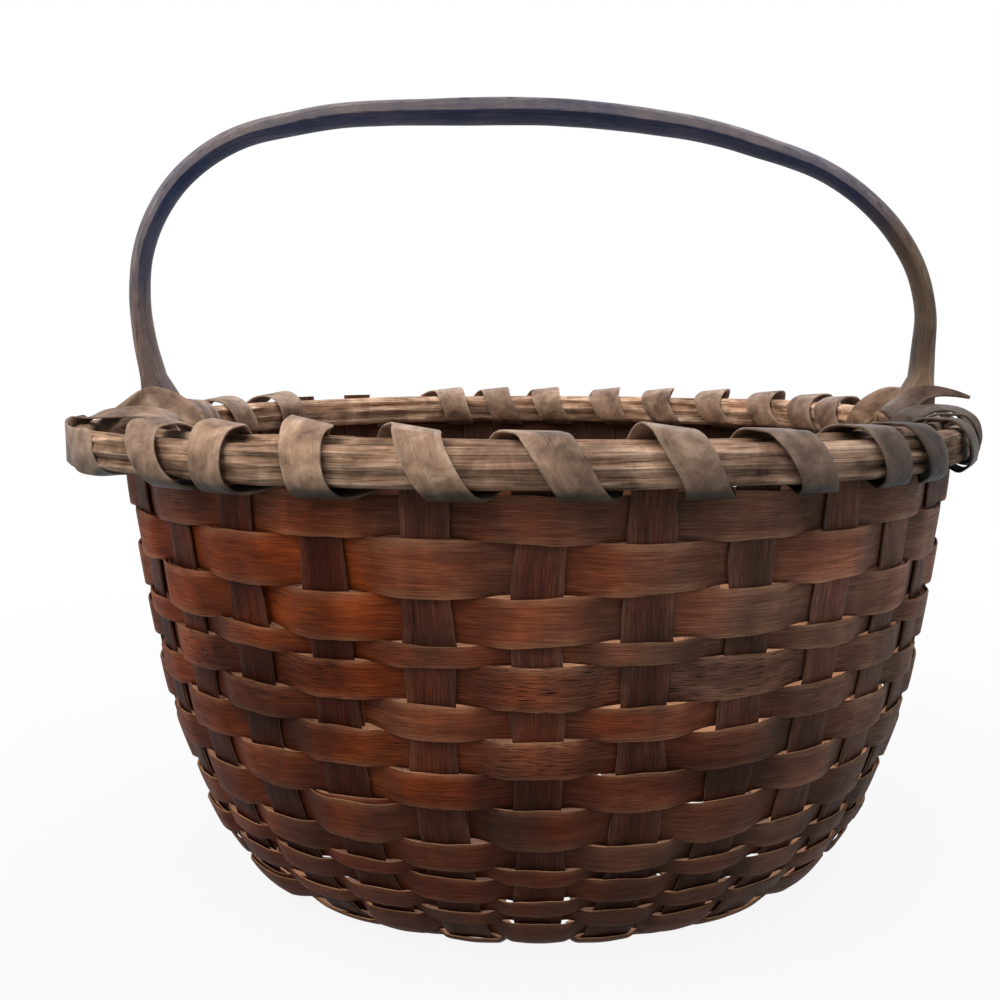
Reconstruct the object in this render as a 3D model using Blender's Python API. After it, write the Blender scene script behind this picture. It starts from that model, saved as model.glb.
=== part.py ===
"""Gathering basket of riven ash splint: round rim, square plaited base, fixed bentwood handle.

Units are metres and +Z is up. The base rests on z = 0, and the origin lies under the middle of the
basket's whole width: the rim bows out at the left, so the body stands a little to the right of it.
The handle stands in the XZ plane and the front of the basket is its -Y side. A place around the rim
is an angle in degrees from the front, growing towards +X, so the handle's feet are at 90 and 270.
"""

import math

import bmesh
import bpy
import numpy as np

# Half the length over which the wall's slope is read
PROBE = 0.0015

# Stock: the splints and the strips riven from the log
STAKE_WIDTH = 0.0165
STAKE_THICKNESS = 0.0012
WEAVER_THICKNESS = 0.0010
LASH_WIDTH = 0.0160
LASH_THICKNESS = 0.0010
HOOP_HEIGHT = 0.0150
OUTER_HOOP_DROP = 0.0015
OUTER_HOOP_THICKNESS = 0.0080
INNER_HOOP_THICKNESS = 0.0070
HOOP_CHAMFER = 0.0025

# Body: the wall's middle surface rises from the flat base to the rim
BODY_SHIFT = 0.0035
RIM_RADIUS = 0.1725
RIM_HEIGHT = 0.1900
# The wall's line, as shares of the way out from the flat base to the rim and of the way up
WALL_LINE_SHARES = (
    (0.000, 0.0000), (0.178, 0.0070), (0.337, 0.0198), (0.452, 0.0486), (0.567, 0.1200),
    (0.718, 0.2756), (0.840, 0.4590), (0.884, 0.5786), (0.952, 0.7935), (1.000, 1.0000),
)

# Weave: splints laid across the base, and rows of weavers from the rim down
FRONT_SPLINTS = 7
SIDE_SPLINTS = 8
BASE_PITCH = 0.0205
BASE_ROUNDING = 0.0140
FAN_START = 0.0038
FAN_REACH = 0.0460
ROW_WIDTHS = (
    0.0132, 0.0174, 0.0158, 0.0077, 0.0137, 0.0112, 0.0136, 0.0134, 0.0152,
    0.0102, 0.0055, 0.0087, 0.0067, 0.0059, 0.0115, 0.0120, 0.0110,
)
ROW_LAP_STARTS = (11, 18, 25, 4, 13, 26, 17, 10, 27, 16, 9, 24, 5, 20, 25, 12, 3)
LAP_STAKES = 3
CORNER_CLEARANCE = 0.0017
SQUARE_PULL = 0.0022
STAKE_PROUD = 0.0015
CROSSING_MARGIN = 0.0002
BASE_EASE = 0.0050
ROW_GAP = 0.0004
PASS_CLEARANCE = 0.0003
BASE_CLEARANCE = 0.0005

# Rim: hoops bow round the handle's feet, and the lashing winds over both hoops
HOOP_CLEARANCE = 0.0007
FOOT_PLATEAU = 5.0
FOOT_SPREAD = 18.0
LEFT_BOW = 0.0135
LEFT_BOW_MIDDLE = 284.0
LEFT_BOW_PLATEAU = 6.0
LEFT_BOW_SPREAD = 40.0
HOOP_STEP = 6.0
SCARF_ANGLE = 22.0
SCARF_TIP = 0.0012
SCARF_GAP = 0.0006
OUTER_SCARF_START = 143.0
INNER_SCARF_START = 318.0
LASH_CLEARANCE = 0.0005
LASH_LAYER_GAP = 0.0006
LASH_ARCH = 0.0045
LASH_SLACK = 0.0006
LASH_CORNER = 0.0032
LASH_SCARF_CORNER = 0.0010
LASH_SHOULDER = 0.0025
LASH_PASSAGE = 0.0037
LASH_TURNS = 14
FRONT_FIRST_TOP = -72.0
LOST_TURN = 9
LOOSE_TAIL_REACH = 0.0195
LOOSE_TAIL_RISE = 0.0090

# Handle: a bent stave that is notched over the inner hoop and runs down inside the wall
HANDLE_RISE = 0.1340
HANDLE_OUTER_AT_RIM = 0.0020
HANDLE_NOTCH_INSET = 0.0065
HANDLE_SHOULDER = 0.0055
HANDLE_SHOULDER_HEIGHT = 0.0080
HANDLE_LEG_START = 0.0144
HANDLE_EASE = 0.0012
HANDLE_FOOT_THICKNESS = 0.0092
HANDLE_LEG_THICKNESS = 0.0074
HANDLE_TOP_THICKNESS = 0.0090
HANDLE_EDGE_THICKNESS = 0.0052
HANDLE_LEG_WIDTH = 0.0170
HANDLE_TOP_WIDTH = 0.0285
HANDLE_LEG_ROUNDING = 0.0030
HANDLE_TOP_ROUNDING = 0.0006
# Half widths of the level parts of the handle's faces, as shares of its width.
HANDLE_TAIL_FLAT = 0.30
HANDLE_LEG_FLAT = 0.28
HANDLE_TOP_FLAT = 0.45
HANDLE_CROWN_FLAT = 0.26
# Shares of the way up the leg at which the foot ends, and the stave starts to widen
HANDLE_FOOT_END = 0.10
HANDLE_WIDENING = (0.14, 0.50)
HANDLE_TAIL_DEPTH = 0.0656
HANDLE_TAIL_THICKNESS = 0.0044
HANDLE_TAIL_TIP = 0.0020
HANDLE_TAIL_NECK = 0.0020
HANDLE_SEAT_CLEARANCE = 0.0008
# Outer face of the arch, as shares of its half span and of its rise
HANDLE_ARCH_SHARES = (
    (-1.000, 0.000), (-1.003, 0.095), (-1.019, 0.242), (-1.025, 0.387), (-1.011, 0.531),
    (-0.966, 0.674), (-0.878, 0.815), (-0.782, 0.896), (-0.582, 0.968), (-0.213, 1.000),
    (0.151, 0.987), (0.520, 0.905), (0.784, 0.762), (0.900, 0.626), (0.969, 0.483),
    (0.999, 0.339), (1.000, 0.193), (1.000, 0.000),
)

ENDS = 2 * (FRONT_SPLINTS + SIDE_SPLINTS)
STEP = 360.0 / ENDS
BASE_MIDDLE = STAKE_THICKNESS + BASE_CLEARANCE / 2
BASE_HALF_WIDTH = (FRONT_SPLINTS - 1) / 2 * BASE_PITCH + STAKE_WIDTH / 2
BASE_HALF_DEPTH = (SIDE_SPLINTS - 1) / 2 * BASE_PITCH + STAKE_WIDTH / 2
LAST_ROW_RADIUS = math.hypot(BASE_HALF_WIDTH, BASE_HALF_DEPTH) + CORNER_CLEARANCE
BASE_RADIUS = LAST_ROW_RADIUS - BASE_ROUNDING
FAN_START_RADIUS = LAST_ROW_RADIUS - FAN_START
BASE_WEAVE = (STAKE_THICKNESS + BASE_CLEARANCE) / 2
WEAVER_OFFSET = STAKE_THICKNESS / 2 + PASS_CLEARANCE + WEAVER_THICKNESS / 2
LAP_OFFSET = WEAVER_THICKNESS + PASS_CLEARANCE
HOOP_BOTTOM = RIM_HEIGHT - HOOP_HEIGHT


def clear_scene():
    """Remove every object of the scene that the script starts in."""
    for item in list(bpy.data.objects):
        bpy.data.objects.remove(item, do_unlink=True)


def wood(name, colour, roughness):
    """Return a plain wood material of one linear colour."""
    material = bpy.data.materials.new(name)
    material.use_nodes = True
    shader = material.node_tree.nodes["Principled BSDF"]
    shader.inputs["Base Color"].default_value = (*colour, 1.0)
    shader.inputs["Roughness"].default_value = roughness
    shader.inputs["Metallic"].default_value = 0.0
    material.diffuse_color = (*colour, 1.0)
    return material


def unit(vectors):
    """Scale each vector of an array to a length of one."""
    return vectors / np.linalg.norm(vectors, axis=-1, keepdims=True)


def smoothstep(value):
    """Ease from 0 to 1 as the value goes from 0 to 1, flat outside."""
    share = np.clip(value, 0.0, 1.0)
    return share * share * (3 - 2 * share)


def smooth_curve(points, start_tangent, end_tangent, steps):
    """Join points by cubic arcs whose tangents follow the neighbouring points."""
    points = np.asarray(points, float)
    chords = np.linalg.norm(np.diff(points, axis=0), axis=1)
    tangents = np.empty_like(points)
    before, after = chords[:-1, None], chords[1:, None]
    slopes = np.diff(points, axis=0) / chords[:, None]
    tangents[1:-1] = (slopes[:-1] * after + slopes[1:] * before) / (before + after)
    tangents[0] = start_tangent
    tangents[-1] = end_tangent
    share = np.linspace(0, 1, steps, endpoint=False)[:, None]
    pieces = []
    for first, last, tan_a, tan_b, chord in zip(points, points[1:], tangents, tangents[1:], chords):
        pieces.append(
            first * (2 * share**3 - 3 * share**2 + 1)
            + last * (3 * share**2 - 2 * share**3)
            + tan_a * chord * (share**3 - 2 * share**2 + share)
            + tan_b * chord * (share**3 - share**2)
        )
    pieces.append(points[-1:])
    return np.vstack(pieces)


def loft(name, sections, material, smooth=False):
    """Skin a row of closed outlines into one solid with flat ends.

    sections holds stations by outline points by three coordinates, from the body's middle.
    """
    stations, corners, _ = sections.shape
    mesh = bpy.data.meshes.new(name)
    faces = []
    for row in range(stations - 1):
        for corner in range(corners):
            following = (corner + 1) % corners
            faces.append((
                row * corners + corner,
                row * corners + following,
                (row + 1) * corners + following,
                (row + 1) * corners + corner,
            ))
    faces.append(tuple(reversed(range(corners))))
    faces.append(tuple(range((stations - 1) * corners, stations * corners)))
    points = sections.reshape(-1, 3) + np.array([BODY_SHIFT, 0.0, 0.0])
    mesh.from_pydata(points.tolist(), [], faces)
    body = bmesh.new()
    body.from_mesh(mesh)
    bmesh.ops.recalc_face_normals(body, faces=body.faces)
    bmesh.ops.triangulate(body, faces=body.faces)
    body.to_mesh(mesh)
    body.free()
    if smooth:
        mesh.shade_smooth()
        mesh.set_sharp_from_angle(angle=math.radians(40))
    mesh.materials.append(material)
    item = bpy.data.objects.new(name, mesh)
    bpy.context.scene.collection.objects.link(item)
    return item


def strip_sections(centre, across, normal, thickness):
    """Outline a flat strip at each station: across is half its width, as a vector."""
    half = normal * thickness / 2
    return np.stack(
        [centre - across - half, centre + across - half, centre + across + half, centre - across + half],
        axis=1,
    )


class Wall:
    """Middle surface of the body, read by the length along it from the base's centre."""

    def __init__(self):
        start = np.array([BASE_RADIUS, BASE_MIDDLE])
        reach = np.array([RIM_RADIUS, HOOP_BOTTOM]) - start
        knots = start + np.array(WALL_LINE_SHARES) * reach
        side = smooth_curve(knots, (1.0, 0.0), (0.0, 1.0), 24)
        line = np.vstack([[0.0, BASE_MIDDLE], side, [RIM_RADIUS, RIM_HEIGHT]])
        self.length = np.concatenate([[0.0], np.cumsum(np.linalg.norm(np.diff(line, axis=0), axis=1))])
        self.line = line
        self.rim = self.length[-1]

    def at(self, length):
        """Return the radius and the height at a length along the wall."""
        radius = np.interp(length, self.length, self.line[:, 0])
        height = np.interp(length, self.length, self.line[:, 1])
        return radius, height

    def from_radius(self, radius):
        """Return the length at which the wall reaches a radius."""
        return np.interp(radius, self.line[:, 0], self.length)

    def from_height(self, height):
        """Return the length at which the wall reaches a height above the base."""
        return np.interp(height, self.line[1:, 1], self.length[1:])

    def normal(self, length):
        """Return the outward normal's radial and upward parts."""
        ahead = np.array(self.at(length + PROBE))
        behind = np.array(self.at(length - PROBE))
        rise = ahead - behind
        rise = rise / np.linalg.norm(rise, axis=0)
        return rise[1], -rise[0]


WALL = Wall()


def row_edges():
    """Return the lengths along the wall that bound the weaver rows, from the rim down."""
    top = WALL.from_height(HOOP_BOTTOM - LASH_PASSAGE)
    bottom = WALL.from_radius(LAST_ROW_RADIUS)
    shares = np.concatenate([[0.0], np.cumsum(ROW_WIDTHS)]) / sum(ROW_WIDTHS)
    return top + (bottom - top) * shares


ROW_EDGES = row_edges()
STAKE_STATIONS = (16, 15, 14, 13, 12, 10, 9, 8, 6, 4, 2, 0)


def row_bounds(row, angle):
    """Return the lower and upper edge of a weaver row at an angle round the rim.

    The lowest row is pulled in at the middle of the base's four sides.
    """
    upper = ROW_EDGES[row] - ROW_GAP / 2
    lower = ROW_EDGES[row + 1] + ROW_GAP / 2
    if row == len(ROW_WIDTHS) - 1:
        pull = SQUARE_PULL * (1 - abs(math.sin(math.radians(2 * angle))) ** 1.5)
        upper -= pull
        lower -= pull
    return lower, upper


class Upright:
    """Half of a stake splint, from the base's middle line up to the rim on one side."""

    def __init__(self, ahead, aside, offset, place, crossings, parity):
        self.ahead = np.array(ahead, float)
        self.aside = np.array(aside, float)
        self.offset = offset
        self.fan = math.radians(STEP * place)
        direction = self.ahead[:2] * math.cos(self.fan) + self.aside[:2] * math.sin(self.fan)
        self.angle = math.degrees(math.atan2(direction[0], -direction[1])) % 360
        self.end = round(self.angle / STEP)
        lengths, shifts = self.base_stations(crossings, parity)
        wall_lengths = [ROW_EDGES[edge] for edge in STAKE_STATIONS]
        wall_lengths += [WALL.rim - HOOP_HEIGHT, WALL.rim + STAKE_PROUD]
        lower_edge = row_bounds(len(ROW_WIDTHS) - 1, self.angle)[0]
        if lower_edge > lengths[-1] + BASE_EASE / 5:
            wall_lengths.insert(0, lower_edge)
        self.lengths = np.concatenate([lengths, wall_lengths])
        self.shifts = np.concatenate([shifts, np.zeros(len(wall_lengths))])
        self.centre, self.across, self.normal = self.frames(self.lengths)
        plaited = len(lengths) - 1
        self.centre[:plaited, 2] = BASE_MIDDLE
        self.normal[:plaited] = (0.0, 0.0, -1.0)
        self.across[:plaited] = self.aside

    def base_stations(self, crossings, parity):
        """Return where the splint is level over or under each crossing, and how far it shifts."""
        level = STAKE_WIDTH / 2 + CROSSING_MARGIN
        places, shifts = [], []
        for count, crossing in enumerate(crossings):
            shift = BASE_WEAVE if (count + parity) % 2 == 0 else -BASE_WEAVE
            for place in (crossing - level, crossing + level):
                if place > 0:
                    places.append(place)
                    shifts.append(shift)
        places.append(places[-1] + BASE_EASE)
        shifts.append(0.0)
        radii = np.hypot(np.array(places), self.offset)
        return WALL.from_radius(radii), np.array(shifts)

    def plan(self, lengths):
        """Return points of the splint's middle line on the wall's surface."""
        radius, height = WALL.at(np.minimum(lengths, WALL.rim))
        height = height + np.maximum(lengths - WALL.rim, 0.0)
        straight = np.arcsin(np.clip(self.offset / np.maximum(radius, 1e-6), -1, 1))
        fan = smoothstep((radius - FAN_START_RADIUS) / FAN_REACH)
        turn = straight * (1 - fan) + self.fan * fan
        flat = (radius * np.cos(turn))[:, None] * self.ahead + (radius * np.sin(turn))[:, None] * self.aside
        flat[:, 2] = height
        return flat

    def frames(self, lengths):
        """Return centres, crosswise and outward directions, all on the wall's surface."""
        lengths = np.asarray(lengths, float)
        centre = self.plan(lengths)
        along = unit(self.plan(lengths + PROBE / 3) - self.plan(lengths - PROBE / 3))
        radial, upward = WALL.normal(np.minimum(lengths, WALL.rim - 1.1 * PROBE))
        outward = unit(centre * np.array([1.0, 1.0, 0.0]) + np.array([0.0, 0.0, 1e-12]))
        normal = outward * np.reshape(radial, (-1, 1))
        normal[:, 2] += upward
        across = unit(np.cross(normal, along))
        across = across * np.sign(across @ self.aside)[:, None]
        normal = unit(normal - along * np.sum(normal * along, axis=1, keepdims=True))
        return centre, across, normal

    def read(self, length):
        """Return the splint's centre, crosswise and outward directions between its stations.

        The crosswise direction points to growing angles round the rim.
        """
        values = []
        for table in (self.centre, self.across, self.normal):
            values.append(np.array([np.interp(length, self.lengths, table[:, axis]) for axis in range(3)]))
        centre, across, normal = values
        round_rim = np.array([-centre[1], centre[0], 0.0])
        if across @ round_rim < 0:
            across = -across
        return centre, unit(across), unit(normal)


def crossing_places(count):
    """Return the places of parallel splints along the line that they cross, half of them."""
    places = [(index - (count - 1) / 2) * BASE_PITCH for index in range(count)]
    return [place for place in places if place > -BASE_PITCH / 4]


def make_splints(material):
    """Make the stake splints of both directions and return their uprights by place."""
    uprights = {}
    families = (
        ("front_stake", FRONT_SPLINTS, SIDE_SPLINTS, (0, -1, 0), (1, 0, 0), 0),
        ("side_stake", SIDE_SPLINTS, FRONT_SPLINTS, (1, 0, 0), (0, 1, 0), 1),
    )
    for label, count, crossed, ahead, aside, base_parity in families:
        crossings = crossing_places(crossed)
        for index in range(count):
            place = index - (count - 1) / 2
            halves = []
            for sign in (1, -1):
                direction = tuple(sign * value for value in ahead)
                parity = splint_parity(label, index, sign, crossed)
                upright = Upright(direction, aside, place * BASE_PITCH, place, crossings, parity)
                halves.append(upright)
                uprights[upright.end % ENDS] = upright
            joined = [np.concatenate([halves[0].centre[::-1], halves[1].centre])]
            joined.append(np.concatenate([halves[0].across[::-1], halves[1].across]))
            joined.append(np.concatenate([halves[0].normal[::-1], halves[1].normal]))
            shifts = np.concatenate([halves[0].shifts[::-1], halves[1].shifts])[:, None]
            centre = joined[0] + joined[2] * shifts
            sections = strip_sections(centre, joined[1] * STAKE_WIDTH / 2, joined[2], STAKE_THICKNESS)
            loft(f"{label}_{index + 1:02d}", sections, material)
    return uprights


def splint_parity(label, index, sign, crossed):
    """Return 0 where the first crossing outwards lies below, for a plain over-and-under base."""
    first = crossed / 2 if crossed % 2 == 0 else (crossed - 1) / 2
    if label == "front_stake":
        side_index = first if sign == -1 else first - 1
        return int(index + side_index) % 2
    front_index = first
    return int(index + front_index + 1) % 2


def make_weaver(row, uprights, material):
    """Weave one row: over and under the stakes, its two ends lapped over some of them.

    The lowest row laps behind one stake only, so that nothing stands proud under the base.
    """
    start = ROW_LAP_STARTS[row]
    half = STAKE_WIDTH / 2 + PASS_CLEARANCE
    sections = []
    lap = 1 if row == len(ROW_WIDTHS) - 1 else LAP_STAKES
    for count in range(ENDS + lap):
        end = (start + count) % ENDS
        upright = uprights[end]
        outside = (end + row) % 2 == 0
        offset = WEAVER_OFFSET if outside else -WEAVER_OFFSET
        if outside and count >= ENDS:
            offset += LAP_OFFSET
        if not outside and count < lap:
            offset -= LAP_OFFSET
        lower, upper = row_bounds(row, upright.angle)
        low_centre, low_across, low_normal = upright.read(lower)
        high_centre, high_across, high_normal = upright.read(upper)
        for side in (-half, half):
            low = low_centre + low_across * side
            high = high_centre + high_across * side
            inner = offset - WEAVER_THICKNESS / 2
            outer = offset + WEAVER_THICKNESS / 2
            sections.append([
                low + low_normal * inner,
                high + high_normal * inner,
                high + high_normal * outer,
                low + low_normal * outer,
            ])
    loft(f"weaver_row_{row + 1:02d}", np.array(sections), material)


def bow(angle, middle, plateau=FOOT_PLATEAU, spread=FOOT_SPREAD):
    """Return 1 near the bow's middle, such as a handle foot, and 0 beyond its spread."""
    away = abs((angle - middle + 180) % 360 - 180)
    return smoothstep((spread - away) / (spread - plateau))


def outer_hoop_inside(angle):
    """Return the radius of the outer hoop's inner face."""
    plain = RIM_RADIUS + STAKE_THICKNESS / 2 + HOOP_CLEARANCE
    seat = RIM_RADIUS + HANDLE_OUTER_AT_RIM + HANDLE_SEAT_CLEARANCE
    feet = (seat - plain) * (bow(angle, 90) + bow(angle, 270))
    return plain + feet + LEFT_BOW * bow(angle, LEFT_BOW_MIDDLE, LEFT_BOW_PLATEAU, LEFT_BOW_SPREAD)


def inner_hoop_outside(angle):
    """Return the radius of the inner hoop's outer face."""
    plain = RIM_RADIUS - STAKE_THICKNESS / 2 - HOOP_CLEARANCE
    seat = RIM_RADIUS - HANDLE_NOTCH_INSET - PASS_CLEARANCE
    return plain - (plain - seat) * (bow(angle, 90) + bow(angle, 270))


def hoop_angles(start):
    """Return the stations of a hoop, set closer where it bows round the handle's feet."""
    end = start + 360 + SCARF_ANGLE
    angles = []
    for count, angle in enumerate(np.arange(start, end - 1, HOOP_STEP / 2)):
        near_foot = abs((angle - 90) % 180 - 90) > 90 - FOOT_SPREAD - HOOP_STEP
        if near_foot or count % 2 == 0:
            angles.append(angle)
    return angles + [end]


def make_hoop(name, face, thickness, top, start, material):
    """Bend one hoop round the rim, its thinned ends scarfed over each other.

    face gives the radius of the face that lies on the stakes; a negative thickness builds
    the hoop inwards from it. top is the height of its upper face.
    """
    angles = hoop_angles(start)
    scarf_gap = math.copysign(SCARF_GAP, thickness)
    tip = math.copysign(SCARF_TIP, thickness)
    sections = []
    for angle in angles:
        base = face(angle)
        near, far = base, base + thickness
        into = (angle - start) / SCARF_ANGLE
        beyond = (angle - start - 360) / SCARF_ANGLE
        if into < 1:
            far = base + tip + (thickness - tip) * into
        if beyond >= 0:
            near = base + tip + scarf_gap + (thickness - tip) * beyond
            far = base + thickness + scarf_gap + tip * beyond
        elif beyond > -0.5:
            near = base + (tip + scarf_gap) * smoothstep(1 + 2 * beyond)
            far = base + thickness + scarf_gap * smoothstep(1 + 2 * beyond)
        chamfer = min(HOOP_CHAMFER, abs(far - near) * 0.4)
        inward = math.copysign(chamfer, thickness)
        outline = [
            (near, HOOP_BOTTOM), (near, top), (far - inward, top), (far, top - chamfer),
            (far, HOOP_BOTTOM + chamfer), (far - inward, HOOP_BOTTOM),
        ]
        turn = math.radians(angle)
        sections.append([(r * math.sin(turn), -r * math.cos(turn), z) for r, z in outline])
    return loft(name, np.array(sections), material)


def lash_outline(angle, layer):
    """Return the ten places, as radius and height, that a lashing turn passes at an angle."""
    clear = LASH_CLEARANCE + LASH_THICKNESS / 2 + layer * (LASH_THICKNESS + LASH_LAYER_GAP)
    outside = outer_hoop_inside(angle) + OUTER_HOOP_THICKNESS + clear
    inside = inner_hoop_outside(angle) - INNER_HOOP_THICKNESS - clear
    if scarf_lifts(angle, OUTER_SCARF_START):
        outside += SCARF_GAP + SCARF_TIP
    if scarf_lifts(angle, INNER_SCARF_START):
        inside -= SCARF_GAP + SCARF_TIP
    outer_corner = LASH_SCARF_CORNER if scarf_lifts(angle, OUTER_SCARF_START) else LASH_CORNER
    inner_corner = LASH_SCARF_CORNER if scarf_lifts(angle, INNER_SCARF_START) else LASH_CORNER
    top = RIM_HEIGHT + clear
    bottom = HOOP_BOTTOM - clear
    middle = (outside + inside) / 2
    return np.array([
        (middle, top + LASH_ARCH),
        (outside - LASH_CORNER, top + LASH_SHOULDER),
        (outside, top - outer_corner),
        (outside, bottom + outer_corner),
        (outside - outer_corner, bottom),
        (middle, bottom),
        (inside + inner_corner, bottom),
        (inside, bottom + inner_corner),
        (inside, top - inner_corner),
        (inside + LASH_CORNER, top + LASH_SHOULDER),
    ])


def scarf_lifts(angle, start):
    """Tell whether a lashing turn at this angle passes over a hoop's scarf."""
    return (angle - start + SCARF_ANGLE) % 360 < 2.5 * SCARF_ANGLE


def lash_point(angle, place, layer, slack):
    """Return a point of a lashing's middle surface; whole places are the outline's corners."""
    outline = lash_outline(angle, layer)
    first = int(math.floor(place))
    share = place - first
    radius, height = outline[first % 10] * (1 - share) + outline[(first + 1) % 10] * share
    radius += slack
    turn = math.radians(angle)
    return np.array([radius * math.sin(turn), -radius * math.cos(turn), height])


def lash_sections(route, layer, free_end=()):
    """Sweep the lashing strip along a route of angle, place and outward slack.

    Each station's width runs round the rim. free_end adds points with their own widths.
    """
    left, right = [], []
    for angle, place, slack in route:
        radius = RIM_RADIUS if 4 <= place % 10 <= 6 else lash_outline(angle, layer)[int(place) % 10][0]
        spread = math.degrees(LASH_WIDTH / 2 / radius)
        left.append(lash_point(angle - spread, place, layer, slack))
        right.append(lash_point(angle + spread, place, layer, slack))
    for point, half_width in free_end:
        left.append(np.array(point) - np.array(half_width))
        right.append(np.array(point) + np.array(half_width))
    left, right = np.array(left), np.array(right)
    centre = (left + right) / 2
    across = (right - left) / 2
    legs = unit(np.diff(centre, axis=0))
    leg_normals = unit(np.cross(across[:-1] + across[1:], legs))
    normal = np.vstack([leg_normals[:1], leg_normals[:-1] + leg_normals[1:], leg_normals[-1:]])
    normal = unit(normal)
    stretch = np.ones(len(centre))
    stretch[1:-1] = 1 / np.maximum(0.75, np.sum(normal[1:-1] * leg_normals[1:], axis=1))
    return strip_sections(centre, across, normal * stretch[:, None], LASH_THICKNESS), centre, across


def winding_route(first_top, turns):
    """Return the route of plain turns, each over one upright and under before the next."""
    around = (0.0, 0.8, 1.6, 4.4, 5.2, 6.0, 6.8, 7.8, 10.2, 11.2)
    route = []
    for turn in range(turns):
        top = first_top + STEP * turn
        for place, ahead in enumerate(around):
            route.append((top + ahead * STEP / 12, place, 0.0))
    return route


def long_turn(top):
    """Return the route of the long last turn, which runs outside the strip at the handle foot."""
    last = top - 1.2
    crossing = (
        (0.0, 0.0), (0.8, 1.0), (1.8, 2.0), (4.6, 2.15), (7.4, 2.32), (10.2, 2.5), (13.0, 2.68),
        (15.4, 2.84), (17.4, 3.0), (18.4, 4.0), (19.2, 5.0), (20.0, 6.0), (20.9, 7.0), (22.6, 7.8),
    )
    route = []
    for ahead, place in crossing:
        slack = LASH_SLACK if 2 <= place <= 3 else 0.0
        if place >= 6:
            slack = -1.6 * LASH_SLACK
        route.append((last + ahead, place, slack))
    return route


def foot_route(foot):
    """Return the route of the strip that crosses a handle foot and holds it to the hoops."""
    steps = (
        (8.6, -1.6), (8.0, -1.0), (7.4, 0.0), (6.6, 1.0), (5.4, 2.0), (2.6, 2.18), (-0.2, 2.36),
        (-3.0, 2.54), (-5.8, 2.72), (-8.2, 2.87), (-10.4, 3.0), (-11.2, 4.0), (-12.0, 5.0),
        (-11.6, 6.0), (-11.0, 7.0), (-8.4, 8.0), (-7.6, 9.0), (-7.0, 10.0),
    )
    return [(foot + ahead, place, LASH_SLACK if 2 <= place <= 3 else 0.0) for ahead, place in steps]


def least_gap(centre, across):
    """Return the least distance between turns of one winding, from sample points on it."""
    spots = np.concatenate([centre - across, centre, centre + across])
    index = np.tile(np.arange(len(centre)), 3)
    apart = np.linalg.norm(spots[:, None] - spots[None], axis=2)
    apart[np.abs(index[:, None] - index[None]) < 5] = np.inf
    return apart.min() - LASH_THICKNESS


def make_lashings(material):
    """Wind the rim between the handle's feet and cross both feet; the back has lost a turn."""
    front = FRONT_FIRST_TOP
    back = front + 180.0
    gap = back + STEP * LOST_TURN
    end = back + STEP * (LASH_TURNS - 1)
    routes = {
        "lashing_front": winding_route(front, LASH_TURNS - 1) + long_turn(front + STEP * (LASH_TURNS - 1)),
        "lashing_back_right": winding_route(back, LOST_TURN)[:-3],
        "lashing_back_left": winding_route(gap, 1)[7:] + winding_route(gap + STEP, LASH_TURNS - LOST_TURN - 2)
        + long_turn(end),
    }
    for name, route in routes.items():
        sections, centre, across = lash_sections(route, 0)
        loft(name, sections, material)
        print(name, "least gap between turns, mm:", round(1000 * least_gap(centre, across), 2))
    reach = RIM_RADIUS + LOOSE_TAIL_REACH
    height = RIM_HEIGHT + LOOSE_TAIL_RISE
    loose_end = (
        ((reach - 0.0130, -0.0190, height - 0.0006), (0.0020, 0.0072, 0.0010)),
        ((reach - 0.0055, -0.0125, height + 0.0010), (0.0022, 0.0052, 0.0008)),
        ((reach - 0.0010, -0.0045, height), (0.0010, 0.0016, 0.0)),
    )
    sections, _, _ = lash_sections(foot_route(90.0), 1, loose_end)
    loft("foot_lash_right", sections, material)
    sections, _, _ = lash_sections(foot_route(270.0) + [(263.6, 11.0, 0.0), (264.2, 12.0, 0.0)], 1)
    loft("foot_lash_left", sections, material)


def handle_section(place, inward, width, edge, crown, rounding=0.0, flat=HANDLE_TAIL_FLAT):
    """Return the stave's outline at one place: outer face with rounded sides, crowned inner face.

    flat is the half width of the outer face's level part, as a share of the width.
    """
    across = np.array([0.0, 1.0, 0.0])
    outline = (
        (-0.5, rounding), (-flat, 0.0), (flat, 0.0), (0.5, rounding),
        (0.5, edge), (HANDLE_CROWN_FLAT, crown), (-HANDLE_CROWN_FLAT, crown), (-0.5, edge),
    )
    return [place + across * width * share + inward * depth for share, depth in outline]


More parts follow.
